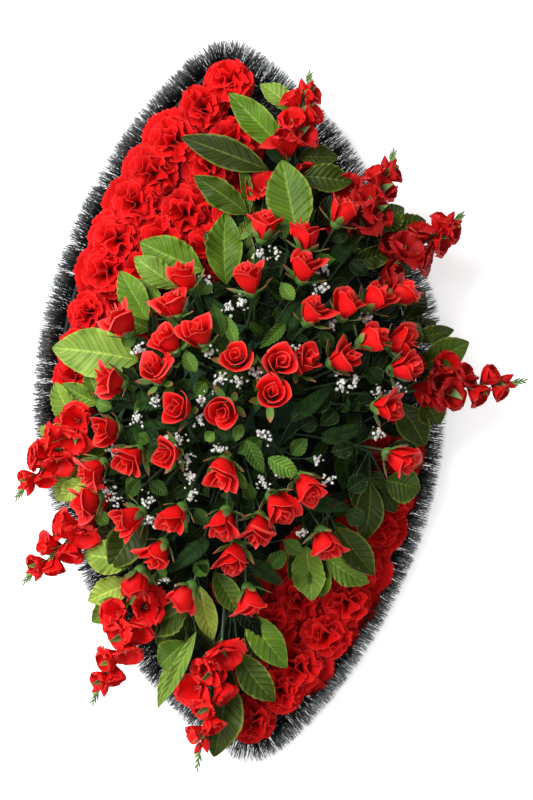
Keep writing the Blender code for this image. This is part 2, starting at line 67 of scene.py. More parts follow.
# The pixel at the right where the fringe is longest and palest, how far round it, and by what share
FULLEST_FRINGE = (416, 300)
FULLER_REACH = 0.080
FULLER_SHARE = 0.24
TIP_ROUNDING = 47  # points of the line over which its direction turns at the pointed ends
BAND_DRAWS = 84 * 7  # the draws that the solids' needle bands take first
CARNATION_RADIUS = 0.035
CARNATION_HEIGHT = 0.056
CARNATION_STEP = 0.057
CARNATION_ROWS = (0.034, 0.102, 0.170)
LEFT_ROWS_FROM = (-0.085, 0.045, 0.125)
RIGHT_ROWS_FROM = (-0.060, -0.195, -0.275)

# The block, the trunks and the roses
BLOCK_RADII = (0.095, 0.115)
BLOCK_HEIGHT = 0.050
TRUNK_RADIUS = 0.0042
TRUNK_RING = 0.052
TRUNK_TOP = 0.100
BRANCH_RADIUS = 0.0030
ROSE_LENGTH = 0.054
ROSE_RADIUS = 0.0235
DOME_TOP = 0.262
DOME_FALL = 1.35
DOME_EDGE = 0.158
DOME_READ = 0.20  # the height at which a place on the dome is read from the photograph
FLAT_REACH = 0.19  # how far from the middle a rose lies down
ROSE_LIFTS = (0.0, 0.010, -0.010, 0.020, -0.020, 0.030, 0.040, 0.050)
ROSE_STEM = 0.0021
# How far from the part's own mesh a rose's or a leaf's tip counts as standing there
ROSE_MISS = 0.004
LEAF_MISS = 0.002
PETAL_THICK = 0.0006
LEAF_THICK = 0.0007
THIN = 0.0005
CLUSTER_FLORETS = 22
CLUSTER_REACH = 0.0060
STEM_LEAVES = 14
SERRATED_LEAF = 0.050
# How deep a stem stands in its hole, and how far it runs straight outside
STEM_DEPTH = 0.013
STEM_COLLAR = 0.007

# Gladioli and broad leaves
GLADIOLUS_ROOT = 0.034
GLADIOLUS_HEIGHT = 0.118
SPIKE_DROP = 0.012
FLORET_SIZE = 0.045
FLORET_STEP = 0.0033
SIDE_FLORET_SIZE = 0.043
LEAF_ROOT = 0.053
LEAF_HEIGHT = 0.100
LEAF_DROP = 0.008
MORE_LEAF_DROP = 0.012
LEAF_LIFTS = (0.0, 0.009, -0.008, 0.018, -0.014, 0.027, 0.036, 0.046, 0.056, 0.066, 0.076)

# The photograph's view
PIXEL = 0.001528
FRAME_MIDDLE = (266.5, 400.0)
WREATH_MIDDLE = (239.5, 400.5)
LEAN = math.radians(2.05)
EYE = 3.0
PHOTO_HEIGHT = 800
SENSOR = 36

# Floor and light: each lamp's place, size and power
FLOOR_HALF = 40
FLOOR_DEPTH = 0.0006
FLOOR_GLOW = 0.56
SKY_LIGHT = 0.34
LAMP_TARGET = (0, 0, 0.1)
LAMPS = {"key": ((-1.60, 1.1, 2.4), 2.0, 119.0), "fill": ((-1.3, -1.7, 2.0), 1.6, 20.0)}

# Flowers and spikes, in pixels
ROSE_BUSHES = {
    "rose_bush_middle": [(234, 355), (280, 362), (308, 364), (270, 395), (223, 407), (177, 410), (221, 472)],
    "rose_bush_top": [(250, 278), (265, 226), (305, 267), (308, 238), (342, 212)],
    "rose_bush_top_right": [(315, 310), (350, 306), (374, 298), (400, 292), (372, 336)],
    "rose_bush_right": [(345, 359), (401, 345), (388, 408), (404, 370)],
    "rose_bush_low_right": [(308, 488), (397, 463), (325, 543), (280, 507)],
    "rose_bush_low": [(258, 530), (224, 525), (236, 557), (251, 600), (186, 597)],
    "rose_bush_low_left": [(176, 520), (158, 555), (138, 583), (130, 518), (166, 460)],
    "rose_bush_left": [(130, 460), (105, 430), (92, 470), (88, 501), (110, 383), (150, 375)],
    "rose_bush_top_left": [(165, 340), (198, 330), (171, 303), (185, 275), (120, 322)],
}
GLADIOLI = {
    "gladiolus_top": ((288, 160), (310, 74)),
    "gladiolus_top_right": ((362, 236), (394, 152)),
    "gladiolus_high_right": ((398, 262), (462, 215)),
    "gladiolus_right": ((422, 390), (524, 381)),
    "gladiolus_left": ((80, 428), (17, 497)),
    "gladiolus_low_left": ((92, 518), (25, 581)),
    "gladiolus_lower_left": ((140, 612), (93, 702)),
    "gladiolus_bottom": ((222, 640), (197, 768)),
}
# The sprays' hubs and leaves, in pixels: base, tip, width, then lightness, partly each leaf's own green and
# partly painted shade, darker at the right
LEAF_SPRAYS = {
    "leaf_spray_top": (
        (300, 215),
        [(285, 150, 229, 93, 30, 0.55), (293, 112, 260, 84, 22, 0.85), (298, 157, 338, 157, 22, 0.25),
         (302, 176, 352, 182, 28, 0.20), (300, 238, 286, 166, 36, 0.50)],
    ),
    "leaf_spray_top_left": (
        (258, 236),
        [(268, 170, 181, 137, 30, 0.06), (248, 214, 194, 176, 28, 0.28), (246, 224, 239, 156, 12, 0.45),
         (226, 284, 226, 212, 36, 0.48), (246, 280, 245, 226, 16, 0.25)],
    ),
    "leaf_spray_upper_left": (
        (196, 296),
        [(203, 270, 140, 242, 42, 0.64), (178, 288, 134, 257, 26, 0.78), (164, 312, 136, 279, 24, 0.72),
         (148, 320, 120, 271, 28, 0.66)],
    ),
    "leaf_spray_left": (
        (128, 398),
        [(138, 360, 52, 348, 48, 0.84), (100, 400, 86, 372, 20, 0.70), (80, 424, 55, 382, 24, 0.80),
         (66, 446, 40, 427, 22, 0.92), (106, 440, 66, 452, 26, 0.80)],
    ),
    "leaf_spray_low_left": (
        (128, 500),
        [(86, 478, 62, 500, 20, 0.95), (144, 516, 110, 568, 36, 0.04), (136, 560, 84, 554, 34, 0.90),
         (132, 582, 88, 601, 28, 0.95)],
    ),
    "leaf_spray_lower_left": (
        (188, 590),
        [(164, 568, 150, 602, 18, 0.90), (188, 620, 157, 646, 34, 0.40), (200, 586, 213, 640, 22, 1.00),
         (186, 642, 160, 666, 28, 0.50), (192, 636, 158, 708, 18, 0.80)],
    ),
    "leaf_spray_bottom": (
        (232, 604),
        [(246, 614, 287, 668, 32, 0.62), (238, 652, 275, 701, 30, 0.28), (226, 674, 214, 757, 40, 0.22),
         (214, 572, 238, 613, 24, 0.42)],
    ),
    "leaf_spray_low_right": (
        (330, 516),
        [(306, 546, 312, 601, 34, 0.75), (325, 556, 369, 583, 24, 0.68), (322, 560, 321, 597, 26, 0.40),
         (336, 527, 374, 575, 30, 0.20)],
    ),
    "leaf_spray_lower_right": (
        (372, 452),
        [(370, 482, 363, 541, 28, 0.10), (385, 480, 420, 490, 34, 0.32), (398, 404, 425, 446, 32, 0.14),
         (424, 398, 440, 424, 28, 0.22)],
    ),
    "leaf_spray_right": (
        (388, 360),
        [(421, 366, 469, 342, 30, 0.40), (412, 338, 454, 330, 18, 0.20), (396, 346, 420, 324, 26, 0.14),
         (402, 389, 453, 373, 10, 0.40)],
    ),
    "leaf_spray_top_right": (
        (362, 266),
        [(389, 234, 426, 221, 24, 0.28), (372, 226, 404, 208, 26, 0.30), (352, 262, 392, 250, 22, 0.12)],
    ),
}

# Where the photograph shows clusters of white florets, in pixels
GYPSOPHILA = [
    (208, 284), (260, 255), (276, 253), (229, 307), (243, 302), (139, 349), (211, 353), (239, 382),
    (222, 379), (255, 373), (155, 400), (201, 400), (138, 418), (200, 420), (179, 439), (165, 438),
    (220, 450), (265, 436), (189, 460), (325, 268), (321, 287), (332, 325), (366, 319), (297, 351),
    (341, 385), (354, 383), (379, 391), (396, 387), (378, 434), (315, 459), (281, 474), (264, 483),
    (304, 531), (328, 480), (107, 490), (114, 500), (148, 502), (151, 522), (191, 496), (191, 476),
    (165, 579), (114, 452),
]

# Small serrated leaves inside the dome, in pixels: base, tip, width
DOME_LEAVES = [
    (285, 323, 262, 346, 16), (222, 338, 214, 307, 17), (236, 346, 226, 318, 16), (246, 440, 262, 470, 20),
    (268, 458, 296, 474, 24), (140, 478, 128, 496, 17), (262, 440, 240, 452, 22), (300, 428, 316, 420, 22),
    (214, 432, 206, 440, 14), (242, 424, 236, 440, 14), (150, 482, 166, 494, 18), (232, 470, 246, 488, 14),
    (294, 300, 282, 284, 18), (332, 348, 322, 332, 18), (196, 372, 186, 352, 18), (206, 382, 196, 396, 18),
    (332, 452, 352, 446, 22), (292, 455, 306, 440, 20), (352, 408, 372, 400, 22), (336, 410, 322, 424, 22),
    (252, 500, 244, 482, 16), (196, 508, 206, 524, 18), (270, 566, 286, 552, 22), (208, 560, 196, 574, 20),
    (348, 490, 366, 478, 24), (346, 510, 362, 520, 24), (284, 540, 300, 552, 20), (310, 410, 330, 398, 20),
    (240, 240, 252, 222, 18), (284, 240, 280, 222, 18), (330, 240, 346, 232, 20), (350, 262, 366, 274, 20),
    (330, 290, 346, 280, 18), (382, 318, 396, 308, 18), (368, 368, 380, 382, 22), (124, 346, 134, 334, 18),
    (150, 442, 138, 436, 16), (112, 408, 98, 402, 18), (108, 524, 96, 512, 18), (200, 294, 210, 282, 18),
]
# Ferns, in pixels: foot and tip
FERNS = [
    (160, 404, 92, 396), (168, 426, 104, 442), (180, 432, 132, 446), (292, 420, 332, 386),
    (322, 440, 366, 426), (240, 424, 208, 442), (352, 330, 334, 296), (232, 330, 206, 296),
    (208, 540, 168, 572), (250, 560, 282, 584), (300, 500, 350, 508), (284, 330, 302, 300),
    (330, 262, 356, 236), (120, 470, 78, 462), (256, 300, 262, 250),
]

# More leaves of the sprays: base, tip, width, depth below the others or height where negative, lightness,
# partly each leaf's own green and partly painted shade, darker at the right
MORE_LEAVES = {
    "leaf_spray_top": [(298, 238, 282, 160, 45, -0.046, 0.50), (304, 200, 322, 156, 26, 0.020, 0.10),
                       (262, 236, 268, 186, 24, 0.020, 0.06), (318, 226, 332, 196, 24, 0.010, 0.10)],
    "leaf_spray_top_left": [(262, 226, 266, 168, 26, 0.022, 0.02), (240, 262, 204, 232, 28, 0.024, 0.20)],
    "leaf_spray_upper_left": [(190, 282, 150, 262, 30, 0.022, 0.60), (150, 330, 112, 316, 26, 0.018, 0.30)],
    "leaf_spray_left": [(128, 392, 84, 392, 30, 0.020, 0.40), (104, 452, 62, 474, 30, 0.010, 0.80),
                        (92, 470, 56, 500, 34, 0.004, 0.90), (80, 440, 42, 432, 26, 0.006, 0.85),
                        (100, 404, 62, 384, 22, 0.002, 0.70), (110, 450, 74, 438, 30, -0.012, 0.35)],
    "leaf_spray_low_left": [(146, 516, 110, 568, 36, -0.052, 0.06), (150, 530, 96, 530, 34, 0.020, 0.06),
                            (150, 570, 118, 602, 30, 0.014, 0.85), (130, 598, 92, 622, 26, 0.010, 0.60)],
    "leaf_spray_lower_left": [(188, 606, 147, 632, 38, -0.020, 0.22),
                              (186, 600, 212, 650, 28, 0.012, 0.30),
                              (196, 632, 158, 707, 14, -0.038, 0.80)],
    "leaf_spray_bottom": [(250, 620, 262, 660, 26, 0.020, 0.10), (222, 640, 204, 690, 26, 0.016, 0.04),
                          (214, 650, 232, 716, 30, 0.018, 0.30)],
    "leaf_spray_low_right": [(330, 520, 352, 566, 28, 0.018, 0.15), (312, 530, 290, 580, 26, 0.020, 0.05)],
    "leaf_spray_lower_right": [(384, 452, 424, 460, 32, 0.016, 0.10),
                               (364, 470, 396, 512, 30, 0.020, 0.15),
                               (352, 470, 372, 520, 28, 0.022, 0.05)],
    "leaf_spray_right": [(398, 340, 436, 322, 26, 0.014, 0.05), (408, 372, 452, 362, 28, 0.018, 0.10),
                         (412, 396, 458, 398, 26, 0.016, 0.15), (402, 320, 424, 292, 20, 0.020, 0.0)],
    "leaf_spray_top_right": [(362, 250, 392, 232, 26, 0.018, 0.04),
                             (372, 262, 412, 270, 26, 0.020, 0.02),
                             (356, 230, 380, 200, 26, 0.014, 0.20), (340, 250, 372, 268, 24, 0.018, 0.0)],
}

UP = Vector((0, 0, 1))
FULL_TURN = 6.28
THIRDS = (0, 2.094, 4.189)  # thirds of a turn, in radians
rng = random.Random(11)
spare = random.Random(5)


# Layout

def seen(px, py, z):
    """The point at height z that the photograph shows at pixel (px, py)."""
    nearer = (EYE - z) / EYE
    x = ((px - FRAME_MIDDLE[0]) * nearer + FRAME_MIDDLE[0] - WREATH_MIDDLE[0]) * PIXEL
    y = ((FRAME_MIDDLE[1] - py) * nearer + WREATH_MIDDLE[1] - FRAME_MIDDLE[1]) * PIXEL
    return Vector((x * math.cos(LEAN) + y * math.sin(LEAN), y * math.cos(LEAN) - x * math.sin(LEAN), z))


def oval(t):
    """The core line at t turns anticlockwise from +X."""
    angle = 2 * math.pi * t
    u = math.sin(angle)
    p, q = OVAL_POWERS
    x = CORE_HALF_WIDTH * max(0.0, 1 - abs(u) ** p) ** q
    return Vector((math.copysign(x, math.cos(angle)), CORE_HALF_LENGTH * u, 0))


def moved_in(points, distance):
    """A closed anticlockwise line moved inwards by a distance."""
    count = len(points)
    out = []
    for i, point in enumerate(points):
        along = (points[(i + 1) % count] - points[i - 1]).normalized()
        out.append(point + UP.cross(along) * distance)
    return out


def walk(points, step):
    """Points and directions a step apart along an open line."""
    found, left = [], 0.0
    for a, b in zip(points, points[1:]):
        length = (b - a).length
        at = left
        while at < length:
            found.append((a.lerp(b, at / length), (b - a).normalized()))
            at += step
        left = at - length
    return found


def even_oval(count):
    """Points of the core line at even distances, with the line's direction at each."""
    line = [oval(i / OVAL_POINTS) for i in range(OVAL_POINTS + 1)]
    length = sum((b - a).length for a, b in zip(line, line[1:]))
    return walk(line, length / (count + 1e-6))[:count]


def bow(start, handle, end, steps):
    """A quadratic curve from start to end, drawn towards handle."""
    shares = [i / steps for i in range(steps + 1)]
    return [start.lerp(handle, t).lerp(handle.lerp(end, t), t) for t in shares]


def carnation_rows():
    """Each row's node name and where its heads stand, from the outer row in."""
    fine = [oval(i / OVAL_POINTS) for i in range(OVAL_POINTS)]
    rows = {}
    for number, distance in enumerate(CARNATION_ROWS):
        inside = moved_in(fine, distance)
        inner = inside[OVAL_POINTS * 3 // 4:] + inside[:OVAL_POINTS // 4 + 1]
        half = [p for p in inner if p.x >= 0 and min((p - q).length for q in fine[::8]) > distance - 0.002]
        spots = [p for p, _ in walk(half, CARNATION_STEP)]
        left = [-p for p in spots if -p.y > LEFT_ROWS_FROM[number]]
        rows[f"carnations_left_row_{number + 1}"] = left
        rows[f"carnations_right_row_{number + 1}"] = [p for p in spots if p.y < RIGHT_ROWS_FROM[number]]
    return rows


def rose_place(px, py, lift):
    """A rose's middle on the dome, and the way it faces."""
    spot = seen(px, py, DOME_READ)
    reach = math.hypot(spot.x, spot.y)
    middle = seen(px, py, max(DOME_EDGE, DOME_TOP - DOME_FALL * reach**2) + lift)
    tilt = math.radians(min(84.0, 90 * (reach / FLAT_REACH) ** 1.1))
    flat = Vector((middle.x, middle.y, 0)).normalized()
    return middle, flat * math.sin(tilt) + UP * math.cos(tilt)


def on_dome(px, py, deeper):
    """The point of the roses' dome at a pixel, less a depth."""
    return rose_place(px, py, -deeper)[0]


def rose_line(start, px, py, lift):
    """The line of a rose's stem, from its trunk to the foot of its calyx."""
    middle, axis = rose_place(px, py, lift)
    base = middle - axis * ROSE_LENGTH * 0.5
    return bow(start, base - axis * (base - start).length * 0.45, base, 2)


def between(a, b, angle):
    """The direction at an angle from a towards b."""
    return a * math.cos(angle) + b * math.sin(angle)


def heading(angle, rise=0.0):
    """The direction at an angle from +X, with a rise."""
    return Vector((math.cos(angle), math.sin(angle), rise))


def side_mouth(target, height):
    """Where a stem leaves the block's side towards a target, and its direction."""
    angle = math.atan2(target.y / BLOCK_RADII[1], target.x / BLOCK_RADII[0])
    mouth = Vector((BLOCK_RADII[0] * math.cos(angle), BLOCK_RADII[1] * math.sin(angle), height))
    return mouth, Vector((target.x, target.y, 0)).normalized()


def leaf_start(line, base, tip):
    """The point of a spray's stem from which a leaf's stalk is short and hardly bends at the base."""
    spots = [a.lerp(b, share) for a, b in zip(line, line[1:]) for share in (0.3, 0.6, 0.9)]

    def cost(spot):
        bend = (base - spot).angle(tip - base)
        return (base - spot).length + 0.1 * max(0.0, bend - 0.9)

    return min(spots[2:], key=cost) + Vector((0.31, -0.23, 0.17)) * 0.001


trees = {}


def nearest(node, point):
    """How far the nearest corner of a CAD node is from a point."""
    if node not in trees:
        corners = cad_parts[node].data.vertices
        trees[node] = KDTree(len(corners))
        for i, corner in enumerate(corners):
            trees[node].insert(corner.co, i)
        trees[node].balance()
    return trees[node].find(point)[2]


# Meshes

class Batch:
    """Closed pieces gathered into one mesh, with three tone numbers at each point."""

    def __init__(self):
        self.points, self.tones, self.quads, self.tris = [], [], [], []
        self.count = 0

    def add(self, points, tones, quads=None, tris=None):
        self.points.append(points)
        self.tones.append(np.broadcast_to(tones, points.shape))
        for kept, new in ((self.quads, quads), (self.tris, tris)):
            if new is not None:
                kept.append(np.asarray(new) + self.count)
        self.count += len(points)


batches = {}


def batch(node, kind):
    """The batch of one kind of thing that stands for a node."""
    return batches.setdefault((node, kind), Batch())


faces_of = {}


def sheet_faces(rows, columns):
    """The faces of a sheet with two sides and a rim."""
    if (rows, columns) not in faces_of:
        index = np.arange(rows * columns).reshape(rows, columns)
        corners = [index[:-1, :-1], index[1:, :-1], index[1:, 1:], index[:-1, 1:]]
        top = np.stack(corners, axis=-1).reshape(-1, 4)
        edge = np.concatenate([index[0, :-1], index[:-1, -1], index[-1, :0:-1], index[:0:-1, 0]])
        after = np.roll(edge, -1)
        rim = np.stack([edge, after, after + rows * columns, edge + rows * columns], axis=-1)
        faces_of[rows, columns] = np.concatenate([top, top[:, ::-1] + rows * columns, rim])
    return faces_of[rows, columns]


def even_grid(rows, columns):
    """Two grids: the shares along a petal or leaf, and the places across it from -1 to 1."""
    return (np.linspace(0, 1, rows)[:, None] * np.ones(columns),
            np.ones(rows)[:, None] * np.linspace(-1, 1, columns))


def sheet(made, grid, across, share, tint, thick):
    """Adds a sheet of real thickness over a grid of points, with its tones across, along and in all."""
    normal = np.cross(np.gradient(grid, axis=0), np.gradient(grid, axis=1))
    normal /= np.maximum(np.linalg.norm(normal, axis=2, keepdims=True), 1e-12)
    points = np.concatenate([(grid + normal * way * thick / 2).reshape(-1, 3) for way in (1, -1)])
    tones = np.stack([across * 0.5 + 0.5, share, np.full_like(share, tint)], axis=-1).reshape(-1, 3)
    made.add(points, np.concatenate([tones, tones]), quads=sheet_faces(*grid.shape[:2]))


def basis(axis, side):
    """Rows of a local frame whose third direction is axis."""
    side = (side - axis * side.dot(axis)).normalized()
    return np.array([side, axis.cross(side), axis])


def petal(x, y, z, turn, turned, foot):
    """A petal's points turned about its flower's axis and set on its foot."""
    out = x * math.cos(turn) - y * math.sin(turn)
    side = x * math.sin(turn) + y * math.cos(turn)
    return np.stack([out, side, z], axis=-1) @ turned + np.array(foot)


def tube(made, path, radii, sides, tone):
    """Adds a closed tube along a path, of one radius or of one at each point."""
    path = [Vector(p) for p in path]
    radii = np.broadcast_to(radii, len(path))
    first = Vector((0.31, 0.17, 0.93)).cross(path[1] - path[0]).normalized()
    turns = [2 * math.pi * i / sides for i in range(sides)]
    rings = []
    for i, (point, radius) in enumerate(zip(path, radii)):
        along = (path[min(i + 1, len(path) - 1)] - path[max(i - 1, 0)]).normalized()
        first = (first - along * first.dot(along)).normalized()
        other = along.cross(first)
        rings += [point + between(first, other, a) * float(radius) for a in turns]
    last = len(rings) - sides
    points = np.array([tuple(p) for p in [*rings, path[0], path[-1]]])
    quads = [
        (r * sides + j, r * sides + (j + 1) % sides, (r + 1) * sides + (j + 1) % sides, (r + 1) * sides + j)
        for r in range(len(path) - 1)
        for j in range(sides)
    ]
    tris = [((j + 1) % sides, j, len(rings)) for j in range(sides)]
    tris += [(last + j, last + (j + 1) % sides, len(rings) + 1) for j in range(sides)]
    made.add(points, np.array(tone), quads=np.array(quads), tris=np.array(tris))


def smooth_line(points, steps):
    """A line through points, rounded between them."""
    points = [Vector(p) for p in points]
    ends = [points[0] * 2 - points[1], *points, points[-1] * 2 - points[-2]]
    out = []
    for a, b, c, d in zip(ends, ends[1:], ends[2:], ends[3:]):
        for i in range(steps):
            t = i / steps
            bend = (a * 2 - b * 5 + c * 4 - d) * t**2
            out.append((b * 2 + (c - a) * t + bend + (b * 3 - a - c * 3 + d) * t**3) * 0.5)
    return [*out, points[-1]]


def stalk(node, path, radii, sides, shade=0.5, along=0.5):
    """Adds a tube to a node's stems."""
    tube(batch(node, "stem"), path, radii, sides, (0.5, along, shade))


# Shares along a blade and its half width there
BROAD = ([0, 0.04, 0.12, 0.26, 0.40, 0.54, 0.68, 0.82, 0.92, 0.97, 1],
         [0.07, 0.2, 0.5, 0.84, 0.98, 1, 0.86, 0.58, 0.31, 0.15, 0.02])
OVATE = ([0, 0.05, 0.15, 0.3, 0.45, 0.6, 0.75, 0.88, 0.95, 1],
         [0.08, 0.34, 0.70, 0.95, 1, 0.87, 0.60, 0.30, 0.13, 0.02])
LANCE = ([0, 0.1, 0.3, 0.5, 0.7, 0.9, 1], [0.2, 0.6, 0.95, 1, 0.8, 0.35, 0.03])
# Side veins on each half of a leaf, and how far they slope along it
VEINS = 8.0
VEIN_SLOPE = 1.5


def blade(made, base, tip, half, face, shape, rows, columns, arch, fold, wave=0.0, teeth=0, relief=0.0,
          thick=THIN, twist=0.0, tint=None):
    """A leaf from base to tip. It rises by arch in the middle, its edges rise by fold, and they wave."""
    base, tip = Vector(base), Vector(tip)
    along = (tip - base).normalized()
    side = along.cross(face).normalized()
    up = side.cross(along)
    length = (tip - base).length
    share, across = even_grid(rows, columns)
    width = np.interp(share, *shape) * half
    if teeth:
        width = width * (1 + 0.22 * (np.abs(across) ** 6) * ((share * teeth) % 1.0 - 0.5))
    phase = spare.uniform(0, FULL_TURN)
    beat = spare.uniform(1.6, 2.6)
    rise = arch * np.sin(math.pi * share**0.85) + fold * width * np.abs(across) ** 1.4
    waves = np.sin(share * beat * FULL_TURN + phase + across * 1.2) * np.sin(math.pi * share)
    rise = rise + wave * half * across**2 * waves
    if relief:
        veins = share * VEINS - np.abs(across) * VEIN_SLOPE
        swell = np.abs(across) ** 0.3 * np.sin(math.pi * share)
        rise = rise + relief * np.abs(np.sin(math.pi * veins)) ** 0.6 * swell
        rise = rise + relief * 1.2 * np.abs(across) ** 4 * np.sin(2 * math.pi * veins + phase) * swell
    bend = spare.uniform(-0.04, 0.04) * length * np.sin(math.pi * share)
    grid = np.array(base) + share[..., None] * length * np.array(along)
    turn = twist * (share - 0.3)
    grid = grid + (across * width * np.cos(turn) + bend)[..., None] * np.array(side)
    grid = grid + (across * width * np.sin(turn) + rise)[..., None] * np.array(up)
    tone = spare.random() if tint is None else tint
    sheet(made, grid, across, share, tone, thick)


# Carnations

# Each ring of a carnation's petals: count, reach, height, width at the edge, depth of the ruffle
CARNATION_RINGS = [
    (6, 1.00, 0.50, 1.36, 0.09),
    (5, 0.90, 0.72, 1.36, 0.11),
    (5, 0.66, 0.92, 1.16, 0.15),
    (3, 0.32, 1.02, 1.00, 0.20),
]


def carnation(made, foot, spot, size, spin, skirt):
    """One carnation head: rings of fan-shaped petals with ruffled, pinked edges."""
    radius = CARNATION_RADIUS * 1.16 * min(1.0, size + 0.06) * min(1.0, skirt)
    height = CARNATION_HEIGHT * size
    lean = Vector((spare.uniform(-0.32, 0.32), spare.uniform(-0.32, 0.32), 1)).normalized()
    turned = basis(lean, heading(spin))
    # Painted shade: heads low in the field get darker tints, the upper ones lighter.
    head = spare.uniform(0.30, 1.0) if spot.y > -0.05 else spare.uniform(0.0, 0.55)
    share, across = even_grid(7, 15)
    rings = [(7, max(1.0, skirt), 0.26, 1.30, 0.05), *CARNATION_RINGS]
    for number, (count, reach, top, wide, ruffle) in enumerate(rings):
        for i in range(count):
            turn = 2 * math.pi * (i + 0.5 * (number % 2)) / count + spare.uniform(-0.22, 0.22)
            reach_now = reach * spare.uniform(0.90, 1.04) * radius
            top_now = top * spare.uniform(0.93, 1.05) * height
            curl = spare.uniform(-0.05, 0.10) * height
            length = 1 + 0.045 * (((across + 1) * 4.0 + 0.5) % 1.0 - 0.5) * 2 * (share > 0.95)
            along = share * (length - 0.07 * across**2)
            out = reach_now * (0.10 + 0.90 * along**1.15)
            base = min(0.30, top * 0.6) * height
            rise = base + (top_now - base) * np.sin(along * math.pi / 2) - curl * along**4
            half = wide * radius * 0.5 * (0.16 + 0.84 * share**0.75)
            phase, beat = spare.uniform(0, FULL_TURN), spare.uniform(1.1, 2.1)
            ripple = ruffle * radius * share**2 * np.sin(across * beat * math.pi + phase)
            ripple = ripple + 0.016 * radius * share**2 * np.sin(across * 8 * math.pi + phase * 2)
            steep = math.atan2(top_now - base, reach_now)
            x = out - ripple * math.sin(steep) - 0.22 * half * across**2
            z = rise + ripple * math.cos(steep)
            y = across * half
            tint = min(1.0, max(0.0, head + spare.uniform(-0.2, 0.2)))
            sheet(made, petal(x, y, z, turn, turned, spot), across, share, tint, PETAL_THICK)
    tube(foot, [spot, spot + lean * height * 0.2, spot + lean * height * 0.42],
         [radius * 0.13, radius * 0.22, radius * 0.30], 10, (0.5, 0.3, 0.5))


def make_carnations():
    for node, spots in carnation_rows().items():
        for spot in spots:
            spot = spot + UP * (BOARD_THICK + GAP)
            spin = rng.uniform(0, math.pi)
            sizes = [1.02 - 0.03 * i for i in range(8)]
            size = min(sizes, key=lambda s: nearest(node, spot + UP * CARNATION_HEIGHT * s * 0.80))
            skirt = 1.26 if node.startswith("carnations_left") else 1.34
            if spot.x < 0 and spot.y < 0.16:
                skirt = 0.84
            if abs(spot.y) > 0.43:
                skirt = 0.92
            carnation(batch(node, "carnation"), batch(node, "calyx"), spot, size, spin, skirt)


# Roses

ROSE_PETALS = 9
# From the innermost petal to the outermost, and how far out each one stands
ROSE_SPIRAL = ([0, 0.5, 0.66, 1], [0.15, 0.46, 0.72, 0.92])
# The bushes that the dome shades; their small leaves are painted darker, as painted shade
SHADED = ("rose_bush_top_right", "rose_bush_right", "rose_bush_low_right")


def rose_head(node, base, axis, size, spin):
    """A half open rosebud: petals wrapped round each other, calyx and sepals."""
    height, radius = ROSE_LENGTH * size, ROSE_RADIUS * size
    turned = basis(axis, Quaternion(axis, spin) @ axis.orthogonal().normalized())
    shear = np.array((spare.uniform(-0.16, 0.16), spare.uniform(-0.16, 0.16)))
    made = batch(node, "rose")
    opened = spare.uniform(0.55, 1.15)
    head = spare.random()
    share, across = even_grid(10, 11)
    body = np.interp(share, [0, 0.14, 0.38, 0.6, 0.8, 1], [0.20, 0.44, 0.74, 0.92, 1.0, 1.0])
    rolled = np.clip((share - 0.76) / 0.24, 0, 1)
    turn = spare.uniform(0, FULL_TURN)
    for i in range(ROSE_PETALS):
        outer = i / (ROSE_PETALS - 1)
        turn += 2.20 + spare.uniform(-0.35, 0.35)
        full = radius * np.interp(outer, *ROSE_SPIRAL) * spare.uniform(0.94, 1.05)
        span = 1.50 - 0.42 * outer
        top = height * (0.98 - 0.05 * outer * opened + spare.uniform(-0.08, 0.05))
        lip = radius * opened * (0.04 + (0.46 - 0.16 * axis.z) * outer**1.5) * spare.uniform(0.5, 1.4)
        spiral = radius * 0.10
        point = spare.uniform(0.8, 2.6)
        out = full * body * (0.55 + 0.45 * np.maximum(share, outer)) + spiral * across
        out = out + lip * rolled**1.4 * (1.25 - 1.10 * np.abs(across) ** 0.8)
        edge = 1 - 0.13 * across**2 - 0.09 * np.abs(across) ** 0.8 * point
        z = top * (0.10 + 0.90 * share * (edge * share + 1 - share)) - lip * 0.55 * rolled**2.4
        z = z + 0.030 * height * rolled * np.sin(across * 5.5 + turn * 3)
        angle = turn + across * span
        local = np.stack([out * np.cos(angle) + z * shear[0], out * np.sin(angle) + z * shear[1], z], axis=-1)
        tint = (head * 0.7 + spare.uniform(0, 0.3)) % 1.0
        sheet(made, local @ turned + np.array(base), across, share, tint, PETAL_THICK)
    green = batch(node, "sepal")
    cup = [base + axis * height * at for at in (0.0, 0.05, 0.13, 0.21, 0.27)]
    tube(green, cup, [radius * full for full in (0.14, 0.30, 0.42, 0.44, 0.30)], 12, (0.5, 0.1, 0.4))
    for i in range(5):
        angle = spin + i * 2 * math.pi / 5 + spare.uniform(-0.15, 0.15)
        flat = between(Vector(turned[0]), Vector(turned[1]), angle)
        start = base + axis * height * 0.16 + flat * radius * 0.38
        spread = spare.uniform(0.25, 1.2)
        way = (axis * (1.0 - spread * 0.55) + flat * (0.45 + spread * 0.55)).normalized()
        tip = start + way * height * spare.uniform(0.42, 0.58)
        face = axis - flat * 0.4
        blade(green, start, tip, radius * 0.24, face, LANCE, 8, 5, -height * 0.035, 0.25, 0.1)


def leafy(node, start, way, face, length, kind="small_leaf"):
    """One small serrated leaf on a short stalk, darker on the bushes at the right as painted shade."""
    # Painted shade: leaves on the bushes that the dome shades are darker.
    tint = spare.random() ** 1.3 * (0.55 if node in SHADED else 1.0)
    foot = start + way * length * 0.16
    droop = UP * length * spare.uniform(0.0, 0.18)
    stalk(node, [start - way * 0.001, foot], [0.0008, 0.0007], 5, spare.random())
    half = length * spare.uniform(0.17, 0.23)
    blade(batch(node, kind), foot - way * 0.001, start + way * length - droop, half, face, OVATE, 15, 5,
          length * 0.05, spare.uniform(0.1, 0.35), 0.14, teeth=7, relief=length * 0.008, tint=tint)


